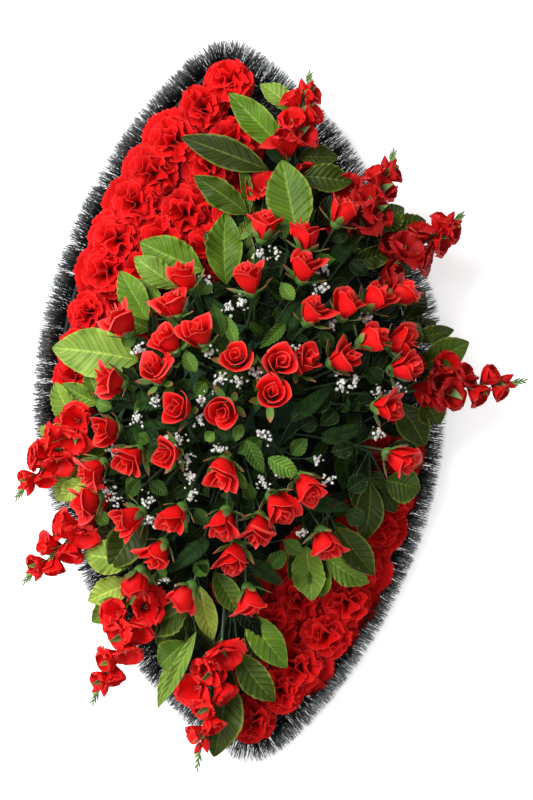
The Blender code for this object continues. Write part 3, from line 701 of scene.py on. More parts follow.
def make_roses():
    """Each bush's trunk, stems and heads."""
    stems = {}
    for node, pixels in ROSE_BUSHES.items():
        middle = sum((rose_place(*pixel, 0)[0] for pixel in pixels), Vector()) / len(pixels)
        flat = Vector((middle.x, middle.y, 0))
        mouth = flat.normalized() * (TRUNK_RING if flat.length > 0.06 else 0)
        foot = mouth + UP * (BOARD_THICK + GAP + BLOCK_HEIGHT)
        end = foot + UP * STEM_COLLAR
        top = Vector((mouth.x * 1.12 + 0.003, mouth.y * 1.12 - 0.004, TRUNK_TOP))
        radii = [TRUNK_RADIUS, TRUNK_RADIUS, TRUNK_RADIUS * 0.8]
        stalk(node, [foot - UP * STEM_DEPTH, end, top], radii, 8, 0.3, 0.1)
        stems[node] = []
        for i, pixel in enumerate(pixels):
            start = end.lerp(top, (i + 1) / (len(pixels) + 0.6))
            size, spin = rng.uniform(0.94, 1.06), rng.uniform(0, math.pi)

            def miss(lift):
                line = rose_line(start, *pixel, lift)
                return nearest(node, line[-1] + (line[-1] - line[-2]).normalized() * ROSE_LENGTH * size)

            lift = min(ROSE_LIFTS, key=miss)
            if miss(lift) > ROSE_MISS:
                print(node, "has no rose at", pixel)
                continue
            line = rose_line(start, *pixel, lift)
            axis = (line[-1] - line[-2]).normalized()
            middle = line[-1] + axis * ROSE_LENGTH * size * 0.5
            nod = Vector((spare.uniform(-0.35, 0.35), spare.uniform(-0.3, 0.3), 0))
            nod.y += 0.28 if pixel[1] < 345 else 0.0
            axis = (axis + nod).normalized()
            base = middle - axis * ROSE_LENGTH * size * 0.5
            stalk(node, smooth_line([*line[:-1], base], 4), ROSE_STEM * 0.85, 7, spare.random())
            rose_head(node, base, axis, size, spin)
            stems[node].append(line)
    return stems


def make_rose_leaves(stems):
    """Leaves on each rose stem: those of the part, then finer ones between them."""
    for node, lines in stems.items():
        for i, line in enumerate(lines):
            for at in (1,) if i % 3 else (1, 0):
                start = line[at].lerp(line[at + 1], 0.5)
                along = (line[at + 1] - line[at]).normalized()
                side = along.orthogonal().normalized()
                first = rng.uniform(0, 2 * math.pi)
                found = []
                for k in range(8):
                    angle = first + k * math.pi / 4
                    out = between(side, along.cross(side), angle)
                    way = (out * 0.8 + along * 0.5 + UP * 0.2).normalized()
                    tip = start + way * SERRATED_LEAF - UP * 0.004
                    found.append((nearest(node, tip), k, way, out))
                miss, _, way, out = min(found)
                if miss < LEAF_MISS:
                    leafy(node, start, way, UP + out * 0.3, SERRATED_LEAF)
            for k in range(6):
                at = 0 if k < 2 else 1
                share = spare.uniform(0.25, 0.95) if at == 0 else spare.uniform(0.05, 0.80)
                start = line[at].lerp(line[at + 1], share)
                along = (line[at + 1] - line[at]).normalized()
                side = along.orthogonal().normalized()
                out = between(side, along.cross(side), spare.uniform(0, 2 * math.pi))
                way = (out * 0.9 + along * spare.uniform(0.1, 0.7) + UP * 0.15).normalized()
                # Most of these finer leaves get the near-black leaf colour, painted shade deep in the bush.
                kind = "dark_leaf" if k < 4 else "small_leaf"
                leafy(node, start, way, UP + out * 0.3, spare.uniform(0.028, 0.048), kind)


def stem_near(stems, spot):
    """The bush and the stem point that a small thing at a spot grows from."""
    points = [
        (node, a.lerp(b, share))
        for node, lines in stems.items()
        for line in lines
        for a, b in zip(line, line[1:])
        for share in (0.2, 0.5, 0.8)
    ]
    return min(points, key=lambda p: (spot - p[1]).length + (0.05 if p[1].z > spot.z - 0.005 else 0.0))


def make_dome_leaves(stems):
    for bx, by, tx, ty, wide in DOME_LEAVES:
        deeper = spare.uniform(0.004, 0.030)
        base, tip = on_dome(bx, by, deeper), on_dome(tx, ty, deeper)
        node, start = stem_near(stems, base - UP * 0.02)
        stalk(node, smooth_line([start, start.lerp(base, 0.5) - UP * 0.004, base], 3), 0.0009, 5)
        # Painted shade: leaves right of the middle are darker, those at the left lighter.
        light = spare.uniform(0.60, 0.94) if bx < 296 else spare.uniform(0.1, 0.6)
        end, face = tip.lerp(base, -0.12), UP + (tip - base) * 4
        blade(batch(node, "small_leaf"), base, end, wide * PIXEL * 0.40, face, OVATE, 28, 7, 0.003, 0.4, 0.12,
              teeth=9, relief=0.0006, tint=light)


def make_ferns(stems):
    for bx, by, tx, ty in FERNS:
        deeper = spare.uniform(0.012, 0.030)
        base, tip = on_dome(bx, by, deeper), on_dome(tx, ty, deeper)
        node, start = stem_near(stems, base - UP * 0.02)
        line = smooth_line([start, base, base.lerp(tip, 0.5) + UP * 0.006, tip], 6)
        count = len(line)
        stalk(node, line, [0.0012 - 0.0008 * i / count for i in range(count)], 5, 0.1, 0.3)
        frond = line[6:]
        for i in range(2 * len(frond) - 2):
            at = i / (2 * len(frond) - 2)
            k = min(i // 2, len(frond) - 2)
            spot = frond[k].lerp(frond[k + 1], i % 2 / 2)
            along = (frond[k + 1] - frond[k]).normalized()
            for turn in (-1, 1):
                way = (along * 0.55 + along.cross(UP) * turn).normalized()
                length = 0.017 * (1 - at**2 * 0.75) * (0.55 + 0.45 * min(1, at * 4))
                tip = spot + way * length
                blade(batch(node, "fern"), spot, tip, length * 0.14, UP, LANCE, 6, 3, 0.0012, 0.2)


def floret(made, spot, axis, radius):
    """A tiny white double star."""
    turned = basis(axis, axis.orthogonal())
    star = np.arange(12)
    after = (star + 1) % 12
    top = np.stack([star, after, np.full(12, 12)], axis=-1)
    low = np.stack([after, star, np.full(12, 13)], axis=-1)
    for layer in range(2):
        reach = radius * (1 - 0.35 * layer)
        turns = star * math.pi / 6 + layer * 0.5
        rim = np.where(star % 2, reach * 0.52, reach)
        lift = radius * (0.15 + 0.35 * layer) + np.where(star % 2, 0.0, radius * 0.22)
        ring = np.stack([rim * np.cos(turns), rim * np.sin(turns), lift], axis=-1)
        points = np.concatenate([ring, [[0, 0, radius * 0.35 * (layer + 1)], [0, 0, -radius * 0.25]]])
        tone = np.array((0.5, 0.5, spare.random()))
        made.add(points @ turned + np.array(spot), tone, tris=np.concatenate([top, low]))


def make_gypsophila(stems):
    """Clusters of white florets on fine branching stalks."""
    for px, py in GYPSOPHILA:
        heart = on_dome(px, py, spare.uniform(0.0, 0.016))
        node, start = stem_near(stems, heart - UP * 0.02)
        fork = start.lerp(heart, 0.62)
        stalk(node, smooth_line([start, fork], 2), 0.0008, 4, 0.7, 0.8)
        for _ in range(CLUSTER_FLORETS):
            around, reach = spare.uniform(0, FULL_TURN), abs(spare.gauss(0, CLUSTER_REACH))
            spot = heart + heading(around) * reach + UP * spare.uniform(-0.009, 0.004)
            stalk(node, [fork, spot], [0.0004, 0.0003], 3, 0.7, 0.8)
            lean = Vector((spare.uniform(-1, 1), spare.uniform(-1, 1), 0.6))
            axis = (spot - fork).normalized() + lean * 0.7
            floret(batch(node, "white"), spot, axis.normalized(), spare.uniform(0.0018, 0.0035))


# Gladioli

# Shares of a spike's length at which its florets stand
SPIKE_FLORETS = (0.0, 0.15, 0.30, 0.44, 0.57, 0.68)
# How light each spike's florets are: painted shade, darker on the spikes at the right that the dome shades
SPIKE_PAINTED_LIGHTNESS = {
    "gladiolus_top": 0.62, "gladiolus_top_right": 0.30, "gladiolus_high_right": 0.30,
    "gladiolus_right": 0.46, "gladiolus_left": 0.92, "gladiolus_low_left": 0.92,
    "gladiolus_lower_left": 0.95, "gladiolus_bottom": 0.90,
}
# Buds above the florets: share of the spike, size and what they are made of
SPIKE_BUDS = ((0.74, 0.027, "gladiolus"), (0.80, 0.020, "gladiolus"), (0.86, 0.014, "bract"))
# Florets on side stalks: pixel, and height above the spike
FLORETS_BESIDE = {
    "gladiolus_top": [(262, 190, -0.020), (302, 176, -0.020)],
    "gladiolus_top_right": [(345, 232, -0.026), (351, 190, -0.020)],
    "gladiolus_high_right": [(394, 250, -0.010), (388, 278, -0.010)],
    "gladiolus_right": [(410, 368, -0.004), (424, 392, -0.004), (446, 368, 0.0)],
    "gladiolus_left": [(77, 420, 0.020), (45, 456, 0.0)],
    "gladiolus_low_left": [(93, 505, 0.010), (86, 532, 0.0)],
    "gladiolus_lower_left": [(118, 613, 0.008), (146, 607, 0.010)],
    "gladiolus_bottom": [(214, 664, 0.006), (196, 688, 0.0)],
}


# Shares along a gladiolus petal and its half width there
PETAL_HALVES = ([0, 0.2, 0.45, 0.7, 0.88, 0.97, 1], [0.05, 0.18, 0.36, 0.47, 0.45, 0.30, 0.16])


def gladiolus_floret(node, base, axis, size, spin, opened, light):
    """An open floret: three outer and three inner pointed petals round a deep throat, and three stamens."""
    turned = basis(axis, Quaternion(axis, spin) @ axis.orthogonal().normalized())
    share, across = even_grid(10, 8)
    head = min(1.0, max(0.0, light + spare.uniform(-0.20, 0.20)))
    for k in range(6):
        inner = k % 2
        turn = k * math.pi / 3 + spare.uniform(-0.12, 0.12)
        flare = 0.22 + (spare.uniform(0.24, 0.68) - 0.14 * inner) * opened
        long = spare.uniform(0.88, 1.10)
        bend = flare - 0.34
        quarters = [0, 0.25, 0.5, 0.75, 1]
        out = size * np.interp(share, quarters, [0.03, 0.15, 0.27, 0.32 + 0.34 * bend, flare])
        rise = size * long * np.interp(share, quarters, [0.0, 0.28, 0.55, 0.80, 1.0 - 0.6 * bend])
        half = size * np.interp(share, *PETAL_HALVES)
        phase = spare.uniform(0, FULL_TURN)
        ripple = 0.060 * size * share**2 * np.sin(across * 6.5 + phase + share * 5)
        x = out - 0.30 * half * across**2 + ripple
        y = across * half
        grid = petal(x, y, rise - ripple * 0.6, turn, turned, base)
        sheet(batch(node, "gladiolus"), grid, across, share, head * (1 - 0.2 * inner), THIN)
    for k in range(3):
        turn = spin + k * 2.1
        flat = between(Vector(turned[0]), Vector(turned[1]), turn)
        start = base + axis * size * 0.02 + flat * size * 0.03
        end = base + axis * size * 0.55 + flat * size * 0.06
        tube(batch(node, "white_part"), [start, end], [0.0005, 0.0004], 4, (0.5, 0.9, 0.5))


def closed_bud(made, base, axis, size, wide, tone):
    """A closed pointed bud of two wrapped petals."""
    turned = basis(axis, axis.orthogonal())
    share, across = even_grid(12, 9)
    width = size * wide * np.interp(share, [0, 0.15, 0.4, 0.65, 0.85, 1], [0.25, 0.7, 1.0, 0.8, 0.4, 0.05])
    for k in range(3):
        angle = k * 2.094 + across * 1.35 + share * 1.2
        out = width * (1 + 0.10 * across)
        local = np.stack([out * np.cos(angle), out * np.sin(angle), share * size], axis=-1)
        sheet(made, local @ turned + np.array(base), across, share, tone, THIN)


def bract(made, base, along, side, length):
    """A green sheath leaf at a floret's foot."""
    tip = base + (along * 0.7 + side * 0.4 + UP * 0.35).normalized() * length
    blade(made, base - along * 0.004, tip, length * 0.22, UP * 0.5 - side * 0.6, LANCE, 9, 5, 0.001, 0.9)


def make_gladioli():
    for node, (first, last) in GLADIOLI.items():
        start, tip = seen(*first, GLADIOLUS_HEIGHT), seen(*last, GLADIOLUS_HEIGHT - SPIKE_DROP)
        mouth, outwards = side_mouth(start, GLADIOLUS_ROOT)
        end = mouth + outwards * STEM_COLLAR
        rise = bow(end - outwards * 0.003, end + outwards * 0.03 + UP * 0.05, start, 2)
        spike = [start.lerp(tip, share) for share in (0.25, 0.5, 0.75, 1.0)]
        line = [mouth - outwards * STEM_DEPTH, *smooth_line(rise, 4)[:-1], *smooth_line([start, *spike], 2)]
        thinner = [BRANCH_RADIUS * 0.95, 0.0026, 0.0018, 0.0007]
        stalk(node, line, np.interp(np.linspace(0, 1, len(line)), [0, 0.5, 0.8, 1], thinner), 7, 0.7, 0.6)
        along = (tip - start).normalized()
        side = along.cross(UP).normalized()
        for i, share in enumerate(SPIKE_FLORETS):
            foot = start.lerp(tip, share)
            sway = side * (1 if i % 2 else -1)
            lean = spare.uniform(0.3, 0.8) * (0.4 if i == 0 else 1.0)
            axis = (sway * lean + UP * spare.uniform(0.35, 0.85) + along * 0.6).normalized()
            size = FLORET_SIZE - FLORET_STEP * i
            # Painted shade: florets nearer the spike's foot are darker.
            light = min(1.0, SPIKE_PAINTED_LIGHTNESS[node] + 0.6 * share - 0.15)
            gladiolus_floret(node, foot, axis, size, i / 2, 1 - 0.55 * share, light)
            bract(batch(node, "bract"), foot + UP * 0.004, along, sway, size * (1.0 if i % 2 else 0.6))
        for px, py, above in FLORETS_BESIDE[node]:
            spot = seen(px, py, GLADIOLUS_HEIGHT + above)
            root = min(line, key=lambda p: (Vector(p) - spot).length)
            axis = (spot - root).normalized() * 0.5 + UP * 0.7 + along * spare.uniform(0.0, 0.5)
            axis.normalize()
            foot = spot - axis * 0.022
            stalk(node, [root, foot.lerp(root, 0.4) - UP * 0.003, foot], [0.0018, 0.0016, 0.0014], 6)
            spin, opened = spare.uniform(0, 3), spare.uniform(0.5, 1.0)
            # Painted shade: side florets a little darker than the spike's own.
            gladiolus_floret(node, foot, axis, SIDE_FLORET_SIZE, spin, opened, SPIKE_PAINTED_LIGHTNESS[node] - 0.1)
        for share, size, kind in SPIKE_BUDS:
            sway = side * (1 if share > 0.78 else -1)
            foot = start.lerp(tip, share)
            axis = (sway * 0.45 + along + UP * 0.2).normalized()
            closed_bud(batch(node, kind), foot, axis, size, 0.24, SPIKE_PAINTED_LIGHTNESS[node])
            bract(batch(node, "bract"), foot, along, sway, size * 0.6)
        for k in range(5):
            sway = side * (1 if k % 2 else -1)
            foot = start.lerp(tip, 0.89 + 0.026 * k)
            axis = (sway * 0.40 + along).normalized()
            closed_bud(batch(node, "bract"), foot, axis, 0.013 - 0.001 * k, 0.11, 0.1)


# Broad leaves

def broad_leaf(node, base, tip, half, tint):
    """A broad leaf with swollen parts between its veins."""
    face = UP + Vector((spare.uniform(-0.3, 0.3), spare.uniform(-0.3, 0.3), 0))
    arch, fold, wave = spare.uniform(0.003, 0.014), spare.uniform(0.2, 0.5), spare.uniform(0.08, 0.26)
    blade(batch(node, "leaf"), base, tip, half, face, BROAD, 44, 11, arch, fold, wave, thick=LEAF_THICK,
          relief=min(0.0028, half * 0.13), twist=spare.uniform(-0.5, 0.5), tint=tint)


def make_leaf_sprays():
    for node, (hub_pixel, leaves) in LEAF_SPRAYS.items():
        hub = seen(*hub_pixel, LEAF_HEIGHT)
        mouth, outwards = side_mouth(hub, LEAF_ROOT)
        end = mouth + outwards * STEM_COLLAR
        line = bow(end - outwards * 0.003, end + outwards * 0.03 + UP * 0.035, hub, 3)
        rounded = [mouth - outwards * STEM_DEPTH, *smooth_line(line, 3)]
        stalk(node, rounded, BRANCH_RADIUS * 0.92, 7, 0.4)
        for _ in range(STEM_LEAVES):
            at = spare.uniform(0.25, 1.0) * (len(rounded) - 1.001)
            spot = rounded[int(at)].lerp(rounded[int(at) + 1], at % 1)
            way = heading(spare.uniform(0, 2 * math.pi), spare.uniform(-0.45, 0.25)).normalized()
            leafy(node, spot, way, UP, spare.uniform(0.045, 0.080), "dark_leaf")
        for bx, by, tx, ty, wide, under, tint in MORE_LEAVES[node]:
            high = LEAF_HEIGHT - under
            base, tip = seen(bx, by, high), seen(tx, ty, high - MORE_LEAF_DROP)
            start = min(rounded, key=lambda p: (p - base).length)
            stalk(node, [start, start.lerp(base, 0.5), base], [0.0015, 0.0013, 0.0011], 6)
            broad_leaf(node, base, tip, wide * PIXEL / 2, tint)
        for bx, by, tx, ty, wide, tint in leaves:
            start = leaf_start(line, seen(bx, by, LEAF_HEIGHT), seen(tx, ty, LEAF_HEIGHT))
            lift = min(LEAF_LIFTS, key=lambda x: nearest(node, seen(tx, ty, LEAF_HEIGHT - LEAF_DROP + x)))
            base, tip = seen(bx, by, LEAF_HEIGHT + lift), seen(tx, ty, LEAF_HEIGHT - LEAF_DROP + lift)
            if nearest(node, tip) > LEAF_MISS:
                print(node, "has no leaf at", (tx, ty))
                continue
            path = [start, start.lerp(base, 0.5), base, base.lerp(tip, 0.06)]
            stalk(node, path, [0.0016, 0.0014, 0.0013, 0.0009], 6, 0.8)
            broad_leaf(node, base, tip, wide * PIXEL / 2, tint)
            for share in (0.35, 0.75):
                way = heading(spare.uniform(0, 2 * math.pi), spare.uniform(-0.6, -0.2)).normalized()
                leafy(node, start.lerp(base, share), way, UP, spare.uniform(0.035, 0.060), "dark_leaf")


# Needle garland

def make_garland():
    """A thin wired core and many fine needles, from a little below the outside to the inside."""
    node = "needle_garland"
    points = [p + UP * CORE_HEIGHT for p, _ in even_oval(CORE_POINTS)]
    tube(batch(node, "core"), [*points, points[0]], CORE_RADIUS, 8, (0.5, 0.1, 0.3))
    draws = np.random.default_rng(7)
    line = even_oval(FRINGE_POINTS)
    where = np.array([tuple(p) for p, _ in line])
    along = np.array([tuple(d) for _, d in line])
    weights = np.hanning(TIP_ROUNDING)
    wrapped = np.concatenate([along[-TIP_ROUNDING:], along, along[:TIP_ROUNDING]])
    along = np.stack([np.convolve(wrapped[:, i], weights, "same") for i in range(3)], axis=1)
    along = along[TIP_ROUNDING:-TIP_ROUNDING]
    along /= np.linalg.norm(along, axis=1, keepdims=True)
    out = np.cross(along, (0, 0, 1))
    tufts = draws.uniform(0, len(line), NEEDLE_COUNT // 3)
    at = (np.repeat(tufts, 3) + draws.normal(0, 0.5, 3 * len(tufts))) % len(line)
    count = len(at)
    low = at.astype(int) % len(line)
    part = (at % 1.0)[:, None]
    high = (low + 1) % len(line)
    spot = where[low] * (1 - part) + where[high] * part
    way = along[low] * (1 - part) + along[high] * part
    outer = out[low] * (1 - part) + out[high] * part
    bare = ((spot[:, 0] > 0) & (spot[:, 1] > -0.06)) | ((spot[:, 0] < 0) & (spot[:, 1] < -0.085))
    share = draws.uniform(0, 1, count)
    flat = LOW_NEEDLES[0] + (LOW_NEEDLES[1] - LOW_NEEDLES[0]) * share
    top = np.where(bare, RAISED_WHERE_BARE, RAISED_NEEDLES[1])
    raised = RAISED_NEEDLES[0] + (top - RAISED_NEEDLES[0]) * share
    turn = np.radians(np.where(draws.random(count) < LOW_SHARE, flat, raised))
    dirs = outer * np.cos(turn)[:, None] + np.array((0, 0, 1)) * np.sin(turn)[:, None]
    sway = np.repeat(draws.normal(0, 0.16, len(tufts)), 3) + draws.normal(0, 0.07, count)
    dirs = dirs + way * (sway + 0.08 * np.sin(at * 0.11))[:, None]
    dirs /= np.linalg.norm(dirs, axis=1, keepdims=True)
    fullest = np.array(seen(*FULLEST_FRINGE, CORE_HEIGHT))
    fuller = np.exp(-(np.linalg.norm(spot[:, :2] - fullest[:2], axis=1) / FULLER_REACH) ** 2)
    length = NEEDLE_LENGTH * (1 - 0.30 * draws.random(count) ** 1.5) * (1 + FULLER_SHARE * fuller)
    foot = spot + np.array((0, 0, CORE_HEIGHT)) + dirs * 0.003
    tip = foot + dirs * (length - 0.003)[:, None]
    tip[:, 2] = np.maximum(tip[:, 2], 0.0012)
    across = np.cross(dirs, draws.normal(0, 1, (count, 3)))
    across /= np.linalg.norm(across, axis=1, keepdims=True)
    third = np.cross(dirs, across)
    corners = []
    for share_now, size in zip((0.0, 0.90), NEEDLE_RADII):
        middle = foot + (tip - foot) * share_now
        thick = size * draws.uniform(0.85, 1.2, count)[:, None]
        corners += [middle + between(across, third, a) * thick for a in THIRDS]
    points = np.stack([*corners, tip], axis=1).reshape(-1, 3)
    first = np.arange(count)[:, None] * 7
    quads = np.concatenate([first + np.array(q) for q in ((0, 1, 4, 3), (1, 2, 5, 4), (2, 0, 3, 5))])
    tris = np.concatenate([first + np.array(t) for t in ((3, 4, 6), (4, 5, 6), (5, 3, 6), (0, 2, 1))])
    tones = np.zeros((count, 7, 3))
    # Shares along each needle, which the material turns into painted shade at the root.
    tones[:, 3:6, 1] = 0.90
    tones[:, 6, 1] = 1.0
    tones[:, :, 2] = np.minimum(1.0, draws.random(count) ** 1.8 + 0.30 * fuller)[:, None]
    batch(node, "needle").add(points, tones.reshape(-1, 3), quads=quads, tris=tris)


# Materials

def new_material(name, roughness, sheen=0.0, coat=0.0, specular=0.5):
    made = bpy.data.materials.new(name)
    made.use_nodes = True
    shader = made.node_tree.nodes["Principled BSDF"]
    for socket, value in (
        ("Roughness", roughness), ("Sheen Weight", sheen), ("Sheen Roughness", 0.4),
        ("Sheen Tint", (1.0, 0.12, 0.12, 1)), ("Coat Weight", coat), ("Coat Roughness", 0.35),
        ("Specular IOR Level", specular),
    ):
        shader.inputs[socket].default_value = value
    return made, made.node_tree, shader


def node_of(tree, kind, **settings):
    made = tree.nodes.new(kind)
    for key, value in settings.items():
        setattr(made, key, value)
    return made


def math_node(tree, operation, a, b=None):
    made = node_of(tree, "ShaderNodeMath", operation=operation)
    for socket, value in zip(made.inputs, (a, b)):
        if value is None:
            continue
        if isinstance(value, (int, float)):
            socket.default_value = value
        else:
            tree.links.new(value, socket)
    return made.outputs[0]


def product(tree, a, b):
    return math_node(tree, "MULTIPLY", a, b)


def with_alpha(colour):
    """A colour or a grey with its alpha."""
    return (*colour, 1) if isinstance(colour, tuple) else (colour, colour, colour, 1)


def ramp(tree, value, stops):
    made = node_of(tree, "ShaderNodeValToRGB")
    tree.links.new(value, made.inputs[0])
    elements = made.color_ramp.elements
    while len(elements) > 1:
        elements.remove(elements[0])
    elements[0].position, elements[0].color = stops[0][0], with_alpha(stops[0][1])
    for position, colour in stops[1:]:
        elements.new(position).color = with_alpha(colour)
    return made.outputs[0]


def mixed(tree, factor, a, b, kind="MIX"):
    made = node_of(tree, "ShaderNodeMix", data_type="RGBA", blend_type=kind)
    for socket, value in zip((made.inputs[0], made.inputs[6], made.inputs[7]), (factor, a, b)):
        if isinstance(value, (int, float)):
            socket.default_value = value
        elif isinstance(value, tuple):
            socket.default_value = (*value, 1)
        else:
            tree.links.new(value, socket)
    return made.outputs[2]


def times(tree, colour, by):
    return mixed(tree, 1.0, colour, by, "MULTIPLY")


def noise(tree, scale, detail=3.0):
    made = node_of(tree, "ShaderNodeTexNoise")
    made.inputs["Scale"].default_value = scale
    made.inputs["Detail"].default_value = detail
    tree.links.new(node_of(tree, "ShaderNodeTexCoord").outputs["Object"], made.inputs["Vector"])
    return made.outputs["Fac"]


def bump(tree, shader, height, strength, distance):
    made = node_of(tree, "ShaderNodeBump")
    made.inputs["Strength"].default_value = strength
    made.inputs["Distance"].default_value = distance
    tree.links.new(height, made.inputs["Height"])
    tree.links.new(made.outputs[0], shader.inputs["Normal"])


def tones_of(tree):
    """Across, along and tint, as the mesh's tone attribute gives them."""
    read = node_of(tree, "ShaderNodeAttribute", attribute_name="tone")
    split = node_of(tree, "ShaderNodeSeparateColor")
    tree.links.new(read.outputs["Color"], split.inputs[0])
    return split.outputs


def petal_material(name, dark, middle, edge, roughness, sheen, streaks, specular, deepest=0.80):
    """Red fabric, darker at a petal's foot as painted shade deep in the flower, and paler at its edge, with a
    streaked and woven grain.
    """
    made, tree, shader = new_material(name, roughness, sheen, specular=specular)
    across, along, tint = tones_of(tree)
    # Painted shade: the colour darkens towards each petal's foot, deep in the flower.
    colour = ramp(tree, along, [(0.0, dark), (0.45, middle), (0.90, middle), (1.0, edge)])
    # The tint darkens whole petals: at random on roses, as painted shade on carnations and gladioli.
    colour = times(tree, colour, ramp(tree, tint, [(0.0, deepest), (1.0, 1.06)]))
    colour = times(tree, colour, ramp(tree, noise(tree, 160.0), [(0.3, 0.86), (0.7, 1.0)]))
    tree.links.new(colour, shader.inputs["Base Color"])
    lines = math_node(tree, "SINE", product(tree, across, streaks))
    height = math_node(tree, "ADD", product(tree, lines, 0.5), noise(tree, 1400.0, 2.0))
    bump(tree, shader, height, 0.35, 0.0006)
    return made


def leaf_material(name, shades, vein, edge, roughness, coat, vein_part, specular=0.5):
    """A leaf whose midrib and side veins are paler, and whose edge is yellower."""
    made, tree, shader = new_material(name, roughness, coat=coat, specular=specular)
    across, along, tint = tones_of(tree)
    apart = math_node(tree, "ABSOLUTE", math_node(tree, "SUBTRACT", product(tree, across, 2.0), 1.0))
    count = math_node(tree, "SUBTRACT", product(tree, along, VEINS), product(tree, apart, VEIN_SLOPE))
    lines = math_node(tree, "PINGPONG", count, 0.5)
    colour = ramp(tree, tint, shades)
    patches = ramp(tree, noise(tree, 28.0), [(0.3, (0.70, 0.74, 0.70)), (0.7, (1.15, 1.12, 1.0))])
    # Painted shade just beside each side vein and painted highlight on the swelling between veins, standing
    # in for the relief's light.
    swollen = ramp(tree, lines, [(0.0, 1.1), (0.10, (0.70, 0.72, 0.70)), (0.5, (1.15, 1.15, 1.1))])
    colour = times(tree, times(tree, colour, patches), swollen)
    paler = times(tree, mixed(tree, 0.12, colour, vein), (2.0, 1.7, 2.0))
    near = ramp(tree, lines, [(0.0, 1), (0.05, 0.75), (0.12, 0)])
    colour = mixed(tree, product(tree, near, vein_part), colour, paler)
    rib = ramp(tree, apart, [(0.0, 1), (0.03, 1), (0.07, 0)])
    colour = mixed(tree, product(tree, rib, 0.8), colour, paler)
    rim = ramp(tree, apart, [(0.84, 0), (0.97, 1)])
    colour = mixed(tree, product(tree, rim, 0.62), colour, mixed(tree, 0.45, paler, edge))
    tree.links.new(colour, shader.inputs["Base Color"])
    ridge = product(tree, math_node(tree, "ADD", lines, product(tree, apart, 0.3)), 1.2)
    height = math_node(tree, "ADD", ridge, product(tree, noise(tree, 420.0), 0.25))
    bump(tree, shader, height, 0.8, 0.0018)
    return made


def plain_material(name, low, high, roughness, scale, bump_distance=0.0003, specular=0.5):
    """One colour that varies between two by noise, and a fine grain."""
    made, tree, shader = new_material(name, roughness, specular=specular)
    tree.links.new(ramp(tree, noise(tree, scale), [(0.3, low), (0.7, high)]), shader.inputs["Base Color"])
    bump(tree, shader, noise(tree, scale * 9), 0.3, bump_distance)
    return made


def graded_material(name, stops, roughness, scale, specular=0.5, shades=(0.6, 1.2)):
    """A colour that changes along each piece, between two shades of it."""
    made, tree, shader = new_material(name, roughness, specular=specular)
    _, along, tint = tones_of(tree)
    colour = times(tree, ramp(tree, along, stops), ramp(tree, tint, [(0.0, shades[0]), (1.0, shades[1])]))
    tree.links.new(colour, shader.inputs["Base Color"])
    bump(tree, shader, noise(tree, scale), 0.3, 0.0003)
    return made


MATERIALS = {
    "carnation": petal_material(
        "carnation_fabric", (0.36, 0.003, 0.004), (0.83, 0.006, 0.007), (0.92, 0.026, 0.026),
        0.75, 0.16, 40.0, 0.10, 0.70),
    "rose": petal_material(
        "rose_satin", (0.32, 0.001, 0.002), (0.84, 0.006, 0.007), (0.92, 0.075, 0.055),
        0.52, 0.08, 14.0, 0.16),
    "gladiolus": petal_material(
        "gladiolus_silk", (0.36, 0.003, 0.004), (0.83, 0.007, 0.008), (0.90, 0.032, 0.024),
        0.54, 0.10, 26.0, 0.15, 0.36),
    "leaf": leaf_material(
        "broad_leaf",
        [(0.0, (0.020, 0.028, 0.002)), (0.3, (0.052, 0.090, 0.008)), (0.6, (0.110, 0.220, 0.018)),
         (0.85, (0.220, 0.350, 0.055)), (1.0, (0.400, 0.540, 0.090))],
        (0.22, 0.36, 0.06), (0.34, 0.42, 0.06), 0.42, 0.03, 0.24, 0.15),
    "small_leaf": leaf_material(
        "rose_leaf",
        [(0.0, (0.003, 0.009, 0.001)), (0.5, (0.010, 0.027, 0.003)), (0.76, (0.050, 0.115, 0.014)),
         (1.0, (0.160, 0.310, 0.050))],
        (0.10, 0.20, 0.04), (0.07, 0.17, 0.03), 0.50, 0.0, 0.22, 0.12),
    # Near-black leaves deep among and under the flowers: painted shade.
    "dark_leaf": leaf_material(
        "inner_leaf",
        [(0.0, (0.002, 0.005, 0.001)), (0.6, (0.005, 0.013, 0.001)), (1.0, (0.016, 0.042, 0.004))],
        (0.04, 0.09, 0.02), (0.03, 0.08, 0.02), 0.60, 0.0, 0.2, 0.08),
    "fern": leaf_material(
        "fern_leaf", [(0.0, (0.008, 0.028, 0.003)), (1.0, (0.024, 0.080, 0.008))],
        (0.04, 0.15, 0.05), (0.03, 0.12, 0.04), 0.50, 0.0, 0.2, 0.3),
    "stem": graded_material(
        "stem_plastic", [(0.0, (0.006, 0.018, 0.004)), (1.0, (0.028, 0.070, 0.015))], 0.5, 700.0),
    "sepal": graded_material(
        "sepal_plastic",
        [(0.0, (0.075, 0.200, 0.030)), (0.55, (0.120, 0.240, 0.040)), (0.85, (0.330, 0.160, 0.060)),
         (1.0, (0.420, 0.090, 0.040))], 0.5, 500.0),
    "calyx": graded_material(
        "calyx_plastic", [(0.0, (0.030, 0.090, 0.018)), (1.0, (0.080, 0.200, 0.040))], 0.55, 500.0),
    "bract": graded_material(
        "bract_plastic", [(0.0, (0.090, 0.220, 0.035)), (1.0, (0.220, 0.380, 0.080))], 0.5, 500.0),
    "white": graded_material(
        "floret_white", [(0.0, (0.78, 0.78, 0.72)), (1.0, (0.92, 0.92, 0.88))], 0.6, 900.0),
    "white_part": graded_material(
        "stamen", [(0.0, (0.75, 0.55, 0.35)), (1.0, (0.85, 0.70, 0.50))], 0.6, 900.0),
    # Near-black at the root, painted shade deep in the garland, growing paler grey towards the tip.
    "needle": graded_material(
        "needle_film",
        [(0.0, (0.003, 0.006, 0.006)), (0.35, (0.008, 0.014, 0.013)), (0.65, (0.035, 0.046, 0.046)),
         (1.0, (0.170, 0.190, 0.190))], 0.42, 900.0, 0.30, (0.35, 3.0)),
    "core": plain_material("garland_core", (0.004, 0.006, 0.006), (0.010, 0.014, 0.013), 0.7, 200.0),
}


